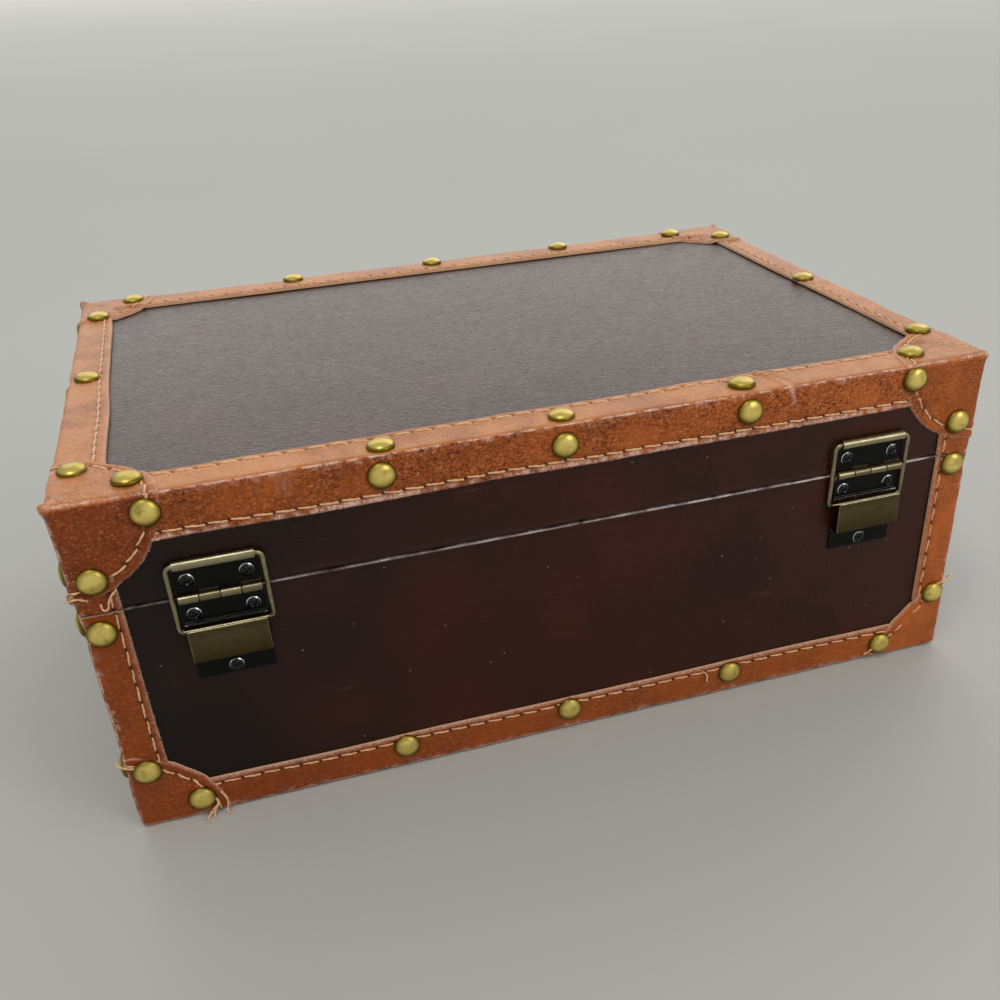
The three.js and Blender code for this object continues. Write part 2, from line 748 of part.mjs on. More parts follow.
// Hasp latch, drawn on the front wall in the same way, turned to face the front
function make_latch(base, lid) {
  const on_base = new THREE.Group();
  const on_lid = new THREE.Group();
  for (const group of [on_base, on_lid]) {
    group.position.set(0, -(half_depth - cover_inset + glue_line), seam_height);
    group.rotation.z = Math.PI;
  }
  base.add(on_base);
  lid.add(on_lid);

  const half_plate = latch_plate_width / 2;
  const half_hasp = hasp_width / 2;
  const half_tongue = half_hasp * hasp_knuckle_share;
  const bore = bar_along_x(
    hinge_pin_diameter / 2 + pin_clearance, barrel_stand, hasp_pivot_rise,
    -half_hasp - overrun, half_hasp + overrun);

  const plate_top = latch_plate_rise + latch_plate_height;
  let plate = wall_plate(
    -half_plate, half_plate, latch_plate_rise, plate_top, latch_thickness, latch_corner_radius);
  for (const side of [-1, 1]) {
    const xs = [side * (half_tongue + knuckle_gap), side * half_hasp].sort((a, b) => a - b);
    plate = plate.add(bar_along_x(barrel_radius, barrel_stand, hasp_pivot_rise, xs[0], xs[1]));
  }
  const notch_half_width = half_tongue + knuckle_gap;
  const notch_top = hasp_pivot_rise + barrel_radius + knuckle_gap;
  plate = plate.subtract(bore).subtract(solid(block(
    -notch_half_width, notch_half_width, -overrun, latch_thickness + overrun,
    latch_plate_rise - overrun, notch_top)));
  for (const x of latch_screws) {
    plate = plate.add(solid(turned(
      screw_profile(), shank_sides, outward, new THREE.Vector3(x, latch_thickness, latch_screw_rise))));
  }
  add(on_lid, 'latch_plate', surface(plate), antique_bronze);

  add(on_lid, 'latch_pin', surface(bar_along_x(
    hinge_pin_diameter / 2, barrel_stand, hasp_pivot_rise, -half_hasp, half_hasp)), antique_bronze);

  const clear_of_barrel = barrel_radius + knuckle_gap;
  const slot_centre = hasp_pivot_rise + staple_drop;
  const slot_half_height = staple_height / 2 + slot_clearance;
  const slot_half_width = staple_wire / 2 + slot_clearance;
  const half_thickness = latch_thickness / 2;
  let hasp = wall_plate(
    -half_hasp, half_hasp, clear_of_barrel, hasp_length, latch_thickness, latch_corner_radius);
  hasp = hasp
    .add(solid(block(-half_tongue, half_tongue, 0, latch_thickness, 0, hasp_length / 2)))
    .subtract(solid(block(
      -slot_half_width, slot_half_width, -overrun, overrun,
      slot_centre - slot_half_height, slot_centre + slot_half_height)));
  hasp = solid(surface(hasp).translate(0, -half_thickness, 0))
    .add(bar_along_x(barrel_radius, 0, 0, -half_tongue, half_tongue))
    .subtract(bar_along_x(
      hinge_pin_diameter / 2 + pin_clearance, 0, 0, -half_hasp, half_hasp));
  const hasp_mesh = add(on_lid, 'latch_hasp', surface(hasp), antique_bronze);
  hasp_mesh.position.set(0, barrel_stand, hasp_pivot_rise);

  let staple = wall_plate(
    -half_plate, half_plate, -staple_drop - latch_plate_height / 2,
    -staple_drop + latch_plate_height / 2, latch_thickness, latch_corner_radius);
  const loop = wire_ring(
    -staple_stand, staple_stand, -staple_height / 2, staple_height / 2,
    staple_wire, staple_wire_bevel, staple_wire);
  loop.applyMatrix4(new THREE.Matrix4().makeBasis(
    new THREE.Vector3(0, 1, 0),
    new THREE.Vector3(0, 0, 1),
    new THREE.Vector3(1, 0, 0),
  ));
  loop.translate(0, 0, -staple_drop);
  const behind_wall = solid(block(
    -half_plate, half_plate, -staple_stand - overrun, 0, -staple_drop - staple_height, 0));
  staple = staple.add(solid(loop).subtract(behind_wall));
  for (const x of latch_screws) {
    staple = staple.add(solid(turned(
      screw_profile(), shank_sides, outward, new THREE.Vector3(x, latch_thickness, -staple_drop))));
  }
  add(on_base, 'latch_staple', surface(staple), antique_bronze);
}

const trunk = new THREE.Group();
const base = make_base();
const lid = make_lid();
trunk.add(base, lid);
make_hinge('left_hinge', -hinge_x, base, lid);
make_hinge('right_hinge', hinge_x, base, lid);
make_latch(base, lid);

export default trunk;
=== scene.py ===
import math
from dataclasses import dataclass

import bpy
import numpy as np
from mathutils import Matrix, Vector


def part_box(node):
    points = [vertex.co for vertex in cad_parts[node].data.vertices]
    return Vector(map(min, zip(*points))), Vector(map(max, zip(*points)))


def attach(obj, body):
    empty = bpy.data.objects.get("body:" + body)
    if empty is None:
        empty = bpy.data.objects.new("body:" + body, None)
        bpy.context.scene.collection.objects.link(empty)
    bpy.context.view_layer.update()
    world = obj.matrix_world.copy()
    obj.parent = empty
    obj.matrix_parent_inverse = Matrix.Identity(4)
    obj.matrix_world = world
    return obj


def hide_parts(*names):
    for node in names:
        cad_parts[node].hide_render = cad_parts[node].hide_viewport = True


# A decorative trunk for papers and keepsakes, seen from behind: dark leatherette
# panels, folded tan leather edging with saddle stitching, domed brass nails,
# bronze stay hinges and a hasp. Meshes are drawn in millimetres in the frame's
# axes, the hinged wall facing +Y, and are turned to metres when they are made.

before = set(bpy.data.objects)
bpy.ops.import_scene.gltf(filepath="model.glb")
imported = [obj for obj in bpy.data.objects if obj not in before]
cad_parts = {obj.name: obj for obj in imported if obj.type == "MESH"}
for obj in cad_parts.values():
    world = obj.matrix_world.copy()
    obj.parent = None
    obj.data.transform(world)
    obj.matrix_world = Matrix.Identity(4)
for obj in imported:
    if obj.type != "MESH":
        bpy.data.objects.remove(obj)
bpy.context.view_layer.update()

MM = 0.001
AXES = np.eye(3)


def node_box(node):
    """A frame node's lowest and highest corners, in millimetres."""
    low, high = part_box(node)
    return np.array(low) / MM, np.array(high) / MM


BASE_LOW, BASE_HIGH = node_box("base_side_cover")
LID_LOW, LID_HIGH = node_box("lid_side_cover")
PANEL_HALF = BASE_HIGH[:2]
BASE_RIM = BASE_HIGH[2]
LID_RIM = LID_LOW[2]
LID_TOP = LID_HIGH[2]

# Leather: thickness, how far its faces stand off the panels, and its folds
HIDE = 1.25
STRIP_STAND = 1.4
CAP_STAND = 2.1
STRIP_FOLD = 1.7
CAP_FOLD = 2.4
UNDER_STAND = 0.4
STRIP_HALF = PANEL_HALF + STRIP_STAND
CAP_HALF = PANEL_HALF + CAP_STAND
STRIP_TOP = LID_TOP + STRIP_STAND
CAP_TOP = LID_TOP + CAP_STAND

# Leather edging: how far each strip lies on its faces, measured from its fold
LID_DROP = 15.8
LID_TOP_WIDTH = 17.3
LID_END_WIDTH = 14.3
BASE_RISE = 14.1
BASE_UNDER_WIDTH = 14.3
POST_WIDTH = 13.8
LID_CAP_RADIUS = 34.0
BASE_CAP_RADIUS = 32.0
UNDERLAP = 4.5
HAND_CUT = 0.3

# Saddle stitching: pitch, distance from the cut edges, and the thread
STITCH_PITCH = 7.0
STITCH_ROWS = 6
STRIP_SEAM_INSET = 2.5
TOP_SEAM_INSET = 3.2
CAP_SEAM_INSET = 3.7
CAP_STITCHES = 7
THREAD_RADIUS = 0.36
THREAD_SIDES = 8
THREAD_STEPS = 13
THREAD_LAY = 2.6
THREAD_LIFT = 0.22
THREAD_SLANT = 0.34
PLY_DEPTH = 0.24
LOOSE_THREAD_SHARE = 0.85
LOOSE_THREAD_STAND = 0.75

# Fibres that stand out of the cut edges
FIBRES_PER_MM = 3
FIBRE_WIDTH = 0.09

# Domed nails
NAIL_RADIUS = 4.9
NAIL_HEIGHT = 2.3
NAIL_SIDES = 32
NAIL_FROM_EDGE = 7.6
LID_NAIL_REACH = 27.5
BASE_NAIL_REACH = 25.0
BASE_ROW_NAIL = 9.4
POST_NAIL_DROP = 6.0
ROW_NAIL_SHARES = (-0.2, 0.0, 0.2)

rng = np.random.default_rng(31)


# Materials

def linear(code):
    """An sRGB hex colour as linear red, green, blue and alpha."""
    values = [int(code[i:i + 2], 16) / 255 for i in (1, 3, 5)]
    return (*[v / 12.92 if v <= 0.04045 else ((v + 0.055) / 1.055) ** 2.4 for v in values], 1)


def add_node(tree, kind, settings=None, inputs=None):
    """A node with its settings, and its inputs as plain values or as sockets to link."""
    made = tree.nodes.new("ShaderNode" + kind)
    for name, value in (settings or {}).items():
        setattr(made, name, value)
    for name, value in (inputs or {}).items():
        if isinstance(value, bpy.types.NodeSocket):
            tree.links.new(value, made.inputs[name])
        else:
            made.inputs[name].default_value = value
    return made


class Finish:
    """A material being made up, its shader's plain values set. Sizes are in millimetres, and
    each step gives the socket that the next one builds on."""

    def __init__(self, name, **surface):
        self.material = bpy.data.materials.new(name)
        self.material.use_nodes = True
        self.tree = self.material.node_tree
        self.shader = self.tree.nodes["Principled BSDF"]
        for socket, value in surface.items():
            self.shader.inputs[socket.replace("_", " ")].default_value = value
        self.place = add_node(self.tree, "TexCoord").outputs["Object"]

    def noise(self, size, place=None, output="Fac", **inputs):
        """Clouds of a size."""
        inputs.update({"Vector": place or self.place, "Scale": 1 / (size * MM)})
        return add_node(self.tree, "TexNoise", inputs=inputs).outputs[output]

    def cells(self, size, feature, place=None, **inputs):
        """Cells of a size: how far a point is from a middle, or from an edge."""
        inputs.update({"Vector": place or self.place, "Scale": 1 / (size * MM)})
        return add_node(self.tree, "TexVoronoi", {"feature": feature}, inputs).outputs["Distance"]

    def drawn(self, scale, rotation=(0, 0, 0)):
        """The object's coordinates turned and drawn out, for marks that run one way."""
        inputs = {"Vector": self.place, "Rotation": rotation, "Scale": scale}
        return add_node(self.tree, "Mapping", inputs=inputs).outputs["Vector"]

    def mark(self, name):
        """A mark that the mesh carries on its points."""
        return add_node(self.tree, "Attribute", {"attribute_name": name}).outputs["Fac"]

    def span(self, value, start, end, low=0.0, high=1.0):
        """A value carried from one span to another, and held at its ends."""
        inputs = {"Value": value, "From Min": start, "From Max": end, "To Min": low, "To Max": high}
        return add_node(self.tree, "MapRange", inputs=inputs).outputs["Result"]

    def sum(self, operation, *values, clamp=False):
        """Values put together by one operation, and kept from 0 to 1 if clamped."""
        settings = {"operation": operation, "use_clamp": clamp}
        return add_node(self.tree, "Math", settings, dict(enumerate(values))).outputs[0]

    def mix(self, share, first, second):
        """Two colours mixed, each a hex code or a socket."""
        first, second = (linear(c) if isinstance(c, str) else c for c in (first, second))
        return add_node(self.tree, "Mix", {"data_type": "RGBA"}, {0: share, 6: first, 7: second}).outputs[2]

    def done(self, colour, relief=None, strength=0.0, depth=0.0, roughness=None, coated=False):
        """The material with its colour, its relief and its roughness joined to the shader."""
        joined = {"Base Color": colour}
        if roughness:
            joined["Roughness"] = roughness
        if relief:
            inputs = {"Height": relief, "Strength": strength, "Distance": depth * MM}
            joined["Normal"] = add_node(self.tree, "Bump", inputs=inputs).outputs["Normal"]
        if coated:
            joined["Coat Normal"] = joined["Normal"]
        for socket, value in joined.items():
            self.tree.links.new(value, self.shader.inputs[socket])
        return self.material


def oxblood_leatherette():
    """PU-coated leatherette, embossed: nearly black oxblood with a half gloss, a fine
    wrinkled pebble that breaks the reflections up, a painted highlight along its rims with some
    rub wear, painted shade darkening the hinged wall towards +X, and marks and specks."""
    f = Finish("oxblood_leatherette", IOR=1.5, Specular_IOR_Level=0.26)
    pebble = f.cells(1.6, "SMOOTH_F1", Smoothness=0.5)
    wrinkle = f.noise(2.8, Detail=6, Distortion=1.6)
    dust = f.span(f.cells(9, "F1"), 0.042, 0.02, high=0.5)
    rub = f.noise(3.4, f.drawn((0.1, 1, 1), (0.05, 0.1, 0.08)), Detail=7, Roughness=0.75)
    scuff = f.span(f.sum("MULTIPLY_ADD", f.mark("handled"), 0.1, rub), 0.655, 0.74, high=0.4)
    tone = f.mix(f.noise(34, Detail=6), "#160803", "#43190c")
    # Painted shade darkening the hinged wall towards +X
    tone = f.mix(f.mark("painted_shade"), tone, "#080302")
    tone = f.mix(scuff, tone, "#6d5146")
    tone = f.mix(dust, tone, "#b9a596")
    # Painted highlight along the base's rim, with some rub wear
    tone = f.mix(f.sum("MULTIPLY", f.mark("wear_and_highlight"), wrinkle), tone, "#d6c8c2")
    relief = f.sum("MULTIPLY_ADD", pebble, 0.7, wrinkle)
    return f.done(tone, relief, 0.5, 0.3, f.span(wrinkle, 0.3, 0.7, 0.33, 0.47))


def tan_hide():
    """Vegetable-tanned hide, antiqued and waxed: orange tan with dark wax left in the creases
    of the grain, redder clouds, deeper colour on its walls and towards one end from its dyeing
    and from painted shade, paler level faces as painted light, painted highlights on its folds,
    its wall margins and in pale flecks, with some rub wear, painted shade in its needle holes
    and stitch grooves, and a gloss broken by the grain."""
    f = Finish("tan_hide", IOR=1.5, Specular_IOR_Level=0.15, Coat_Weight=0.16, Coat_Roughness=0.16)
    cloud = f.noise(19, Detail=5, Distortion=0.6)
    wobble = f.noise(2.2, output="Color", Detail=4)
    bent = add_node(f.tree, "VectorMath", {"operation": "MULTIPLY_ADD"},
                    {0: wobble, 1: (1.6 * MM, 1.6 * MM, 1.6 * MM), 2: f.place}).outputs["Vector"]
    crease = f.span(f.cells(1.5, "DISTANCE_TO_EDGE", bent), 0.0, 0.15, 0.7, 0.0)
    fleck = f.noise(0.8, f.drawn((0.6, 0.6, 1)), Detail=5, Roughness=0.62, Distortion=0.7)
    spread = f.span(f.noise(8, Detail=4), 0.34, 0.6, 0.72)
    rubbed_in = f.mark("wax")
    deep = f.sum("MULTIPLY", f.sum("MAXIMUM", f.span(fleck, 0.47, 0.62), crease), spread)
    wax = f.sum("MULTIPLY", deep, rubbed_in, clamp=True)
    # Painted highlights: pale flecks in the waxed grain
    painted_glints = f.sum("MULTIPLY", f.span(fleck, 0.43, 0.33, high=0.55), rubbed_in, clamp=True)
    scratch = f.noise(0.75, Detail=4, Roughness=0.7, Distortion=1)
    # Rub wear and painted highlights marked on the points, broken up by scratches
    rubbed_and_highlit = f.sum("MULTIPLY", f.mark("wear_and_highlight"), f.span(scratch, 0.42, 0.6, 0.14, 1.15), clamp=True)
    # Deeper colour where marked: the leather's dyeing, with painted shade on the walls and towards one end
    # and painted light on the level faces
    dye_and_shade = f.mark("dye_and_shade")
    tone = f.mix(cloud, "#c4864e", "#ad6a35")
    tone = f.mix(f.span(dye_and_shade, 0.0, 0.5), tone, "#cb6b2a")
    tone = f.mix(f.span(dye_and_shade, 0.5, 1.0), tone, "#8c3d08")
    tone = f.mix(f.span(cloud, 0.45, 0.72, high=0.5), tone, "#7a3a16")
    tone = f.mix(wax, tone, "#592610")
    tone = f.mix(painted_glints, tone, "#cf8a64")
    tone = f.mix(rubbed_and_highlit, tone, "#e4b8a6")
    # Painted shade in the needle holes and along the stitch grooves
    tone = f.mix(f.mark("needle"), tone, "#2a1006")
    relief = f.sum("MULTIPLY_ADD", crease, -0.45, fleck)
    return f.done(tone, relief, 0.8, 0.3, f.span(fleck, 0.3, 0.7, 0.32, 0.55), coated=True)


def raw_hide_edge():
    """The cut edge of undyed hide: pale, matt and fibrous."""
    f = Finish("raw_hide_edge", Roughness=0.88)
    fibre = f.noise(0.9, Detail=6, Roughness=0.75)
    return f.done(f.mix(fibre, "#a87858", "#e8c6a6"), fibre, 0.9, 0.35)


def waxed_thread():
    """Two-ply cotton thread, waxed and a little soiled: cream, with a soft edge to the light."""
    f = Finish("waxed_thread", Roughness=0.62, Sheen_Weight=0.35, Sheen_Roughness=0.5)
    soil = f.noise(6, Detail=5)
    return f.done(f.mix(soil, "#f4cc9a", "#c48650"), f.noise(0.5, Detail=3), 0.6, 0.1)


def aged_metal(name, clean, patina, bright, size, roughness, onset=0.36):
    """Plated metal that has aged: its clean colour, patina in clouds of a size and where its
    points are marked darker, as tarnish and as painted shade, the bright colour of scuffs and of
    edges marked with wear and painted highlights, its roughness where it is clean and where it
    isn't, and the onset of the patina, which covers less the higher it is."""
    f = Finish(name, Metallic=1)
    cloud = f.noise(size, Detail=7, Roughness=0.62)
    rub = f.noise(size * 1.7, Detail=9, Roughness=0.8, Distortion=2)
    # Patina in clouds, and darkening marked on the points: tarnish and painted shade
    aged = f.sum("MAXIMUM", f.span(cloud, onset, onset + 0.34), f.mark("tarnish_and_shade"))
    nick = f.span(rub, 0.66, 0.72, high=0.5)
    # Bright metal at nicks, and along edges marked with wear and painted highlights
    bare_and_highlit = f.sum("MAXIMUM", nick, f.sum("MULTIPLY", f.mark("wear_and_highlight"), rub))
    tone = f.mix(bare_and_highlit, f.mix(aged, clean, patina), bright)
    return f.done(tone, rub, 0.3, 0.1, f.span(aged, 0.0, 1.0, *roughness))


def black_lacquered_steel():
    """Pressed steel under black lacquer: nearly black, with a clear gloss that finds its edges."""
    f = Finish("black_lacquered_steel", IOR=1.5, Specular_IOR_Level=0.1, Coat_Weight=0.05,
               Coat_Roughness=0.14)
    film = f.noise(5, Detail=6)
    return f.done(f.mix(film, "#040404", "#0f0f0b"), film, 0.3, 0.1, f.span(film, 0.35, 0.65, 0.24, 0.4))


def flocked_lining():
    """Flocked lining paper: a short matt pile in dark brown, with soft light at its edges."""
    f = Finish("flocked_lining", Roughness=0.95, Sheen_Weight=0.5, Sheen_Roughness=0.4)
    nap = f.noise(30, Detail=3)
    return f.done(f.mix(nap, "#3a1a16", "#55281f"), f.noise(0.7, Detail=4), 0.8, 0.3)


def bare_fibreboard():
    """Medium-density fibreboard, sawn: pale brown, matt, with a felted fleck."""
    f = Finish("bare_fibreboard", Roughness=0.85)
    return f.done(f.mix(f.noise(1.2, Detail=6), "#94714a", "#c8a676"))


def pale_floor():
    """Smooth painted board under the trunk: pale, matt and nearly even."""
    f = Finish("pale_floor", Roughness=0.7)
    return f.done(f.mix(f.noise(900, Detail=2), "#aeada9", "#b7b6b3"))


LEATHERETTE = oxblood_leatherette()
TAN_HIDE = tan_hide()
RAW_EDGE = raw_hide_edge()
THREAD = waxed_thread()
# Antiqued brass: greenish yellow, satin, browner where the lacquer has aged, darker on the nails as painted
# shade, silvery where struck
NAIL_BRASS = aged_metal("antiqued_nail_brass", "#fbe07e", "#75611c", "#f6f1dc", 5, (0.27, 0.42), 0.47)
# Antique bronze plate: olive brown, satin, yellow along its edges as painted highlights with some rub wear
BRONZE = aged_metal("antique_bronze_plate", "#5d4f2e", "#392e16", "#cfc6a2", 7, (0.24, 0.36))
# Blackened screw steel: dark grey, smooth, with painted glints round its rims and recesses, partly driver
# wear
SCREW_STEEL = aged_metal("blackened_screw_steel", "#28292a", "#131313", "#e4e7ea", 3, (0.16, 0.28))
BLACK_STEEL = black_lacquered_steel()
LINING = flocked_lining()
BOARD = bare_fibreboard()


# Meshes

def unit(vectors):
    """The same ways, each of length one."""
    return vectors / np.linalg.norm(vectors, axis=-1, keepdims=True)


def grid_faces(rows, columns, around=False, closed=False):
    """The quads of a grid of points, its columns joined round if around, its rows if closed."""
    row = np.arange(rows if closed else rows - 1)[:, None]
    column = np.arange(columns if around else columns - 1)[None, :]
    ahead, beside = (row + 1) % rows * columns, (column + 1) % columns
    corners = [row * columns + column, row * columns + beside, ahead + beside, ahead + column]
    return np.stack(corners, axis=-1).reshape(-1, 4).tolist()


def tube(sections):
    """Points and faces of a closed solid from a row of sections, each a loop of points."""
    rows, columns = sections.shape[:2]
    faces = grid_faces(rows, columns, around=True)
    faces.append(list(range(columns))[::-1])
    faces.append([(rows - 1) * columns + i for i in range(columns)])
    return sections.reshape(-1, 3), faces


def ring_tube(sections):
    """Points and faces of a solid whose last section meets its first."""
    return sections.reshape(-1, 3), grid_faces(*sections.shape[:2], around=True, closed=True)


def round_sections(line, first, second, radius, sides):
    """Round sections about the points of a line, in the plane of two directions at each. The
    radius is one number, or one for each point and side."""
    turn = np.arange(sides)[:, None] * 2 * math.pi / sides
    spokes = np.cos(turn) * first[:, None] + np.sin(turn) * second[:, None]
    return line[:, None] + np.asarray(radius)[..., None] * spokes


def thread_sections(line, first, second, radius, twist):
    """Sections of two-ply thread: an oval that turns with the twist."""
    turn = np.arange(THREAD_SIDES) * 2 * math.pi / THREAD_SIDES
    plies = 1 + PLY_DEPTH * np.cos(2 * (turn - twist[:, None]))
    return round_sections(line, first, second, np.reshape(radius, (-1, 1)) * plies, THREAD_SIDES)


def gather(parts):
    """Several (points, faces) parts as one."""
    points, faces, count = [], [], 0
    for part_points, part_faces in parts:
        points.append(np.asarray(part_points, float).reshape(-1, 3))
        faces.extend([[i + count for i in face] for face in part_faces])
        count += len(points[-1])
    return np.concatenate(points), faces


def make_piece(name, body, parts, *finishes, stands_for=None, paint=None, marks=None, crisp=38, ease=0):
    """A named piece of the trunk from (points, faces) parts: what it rides on, its finishes,
    the frame node it stands for, its faces' paint, marks on its points, and eased edges."""
    points, faces = gather(parts)
    mesh = bpy.data.meshes.new(name)
    mesh.from_pydata((points * MM).tolist(), [], faces)
    for finish in finishes:
        mesh.materials.append(finish)
    if paint is not None:
        mesh.polygons.foreach_set("material_index", np.asarray(paint, np.int32))
    for mark, values in (marks or {}).items():
        layer = mesh.attributes.new(mark, "FLOAT", "POINT")
        layer.data.foreach_set("value", np.asarray(values, np.float32))
    mesh.shade_smooth()
    mesh.set_sharp_from_angle(angle=math.radians(crisp))
    piece = bpy.data.objects.new(name, mesh)
    bpy.context.scene.collection.objects.link(piece)
    bpy.context.view_layer.objects.active = piece
    piece.select_set(True)
    bpy.ops.object.mode_set(mode="EDIT")
    bpy.ops.mesh.select_all(action="SELECT")
    bpy.ops.mesh.normals_make_consistent(inside=False)
    bpy.ops.object.mode_set(mode="OBJECT")
    piece.select_set(False)
    if ease:
        bevel = piece.modifiers.new("eased_edges", "BEVEL")
        bevel.width = ease * MM
        bevel.segments = 2
        bevel.limit_method = "ANGLE"
        bevel.angle_limit = math.radians(40)
        bevel.harden_normals = False
    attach(piece, body)
    if stands_for:
        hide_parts(stands_for)
    return piece


def waves(points, size, seed):
    """Soft random hills about size millimetres across, mostly between -1 and 1."""
    draw = np.random.default_rng(seed)
    directions = unit(draw.normal(size=(12, 3)))
    directions /= (size * draw.uniform(0.7, 1.8, 12))[:, None]
    phases = draw.uniform(0, 2 * math.pi, 12)
    return np.sin(2 * math.pi * np.asarray(points) @ directions.T + phases).sum(axis=1) / 4


def hump(distance, width):
    """A smooth bump of a width, 1 at no distance."""
    return np.exp(-(distance / width) ** 2)


# Leather edging

NEEDLE_DEPTH = 0.3
LIP_DROP = 0.38
LIP_WIDTH = 0.9
RAGGED = 0.06
# Rings of a cap inside its seam, and how far in its back is cut at each ring, as shares
CAP_RINGS = 22
CAP_BACK_SHARES = (1.0, 0.8, 0.55, 0.3, 0.08)
CAP_TURN_STEPS = CAP_STITCHES * 5
# A third of a full turn, in radians: what a cap's one lobe takes of its rim laid out round
CAP_THIRD = 2.0944


class Leather:
    """What a strip and a cap share. A spot on either is two places, u and v or radius and turn."""

    def over(self, *spot):
        """The surface at a spot, and the way that it faces."""
        height = self.relief(*spot)
        point = self.place(*spot, height)
        return point, self.place(*spot, height + 1) - point

    def pressed(self, points):
        """How deep the leather is pressed in round the nails that hold it."""
        return sum((0.42 * hump(np.linalg.norm(points - mark, axis=1) - NAIL_RADIUS - 0.2, 1.7)
                    for mark, _ in self.marks), np.zeros(len(points)))

    def grained(self, points):
        """How much of the dark wax has stayed at each point: more on the hide's coarser patches."""
        return np.clip(0.98 + 0.42 * waves(points, 26, self.seed + 12), 0.5, 1.25)

    def rim(self, edge, behind):
        """Points along a cut edge, at half the hide's depth, and the way that each faces."""
        points = self.place(*edge, self.relief(*edge) - HIDE / 2)
        return points, points - self.place(*behind, np.full(len(points), -HIDE / 2))


def lip(from_cut):
    """How far the leather rounds down at its cut edge."""
    return LIP_DROP * (1 - np.clip(from_cut / LIP_WIDTH, 0, 1)) ** 2


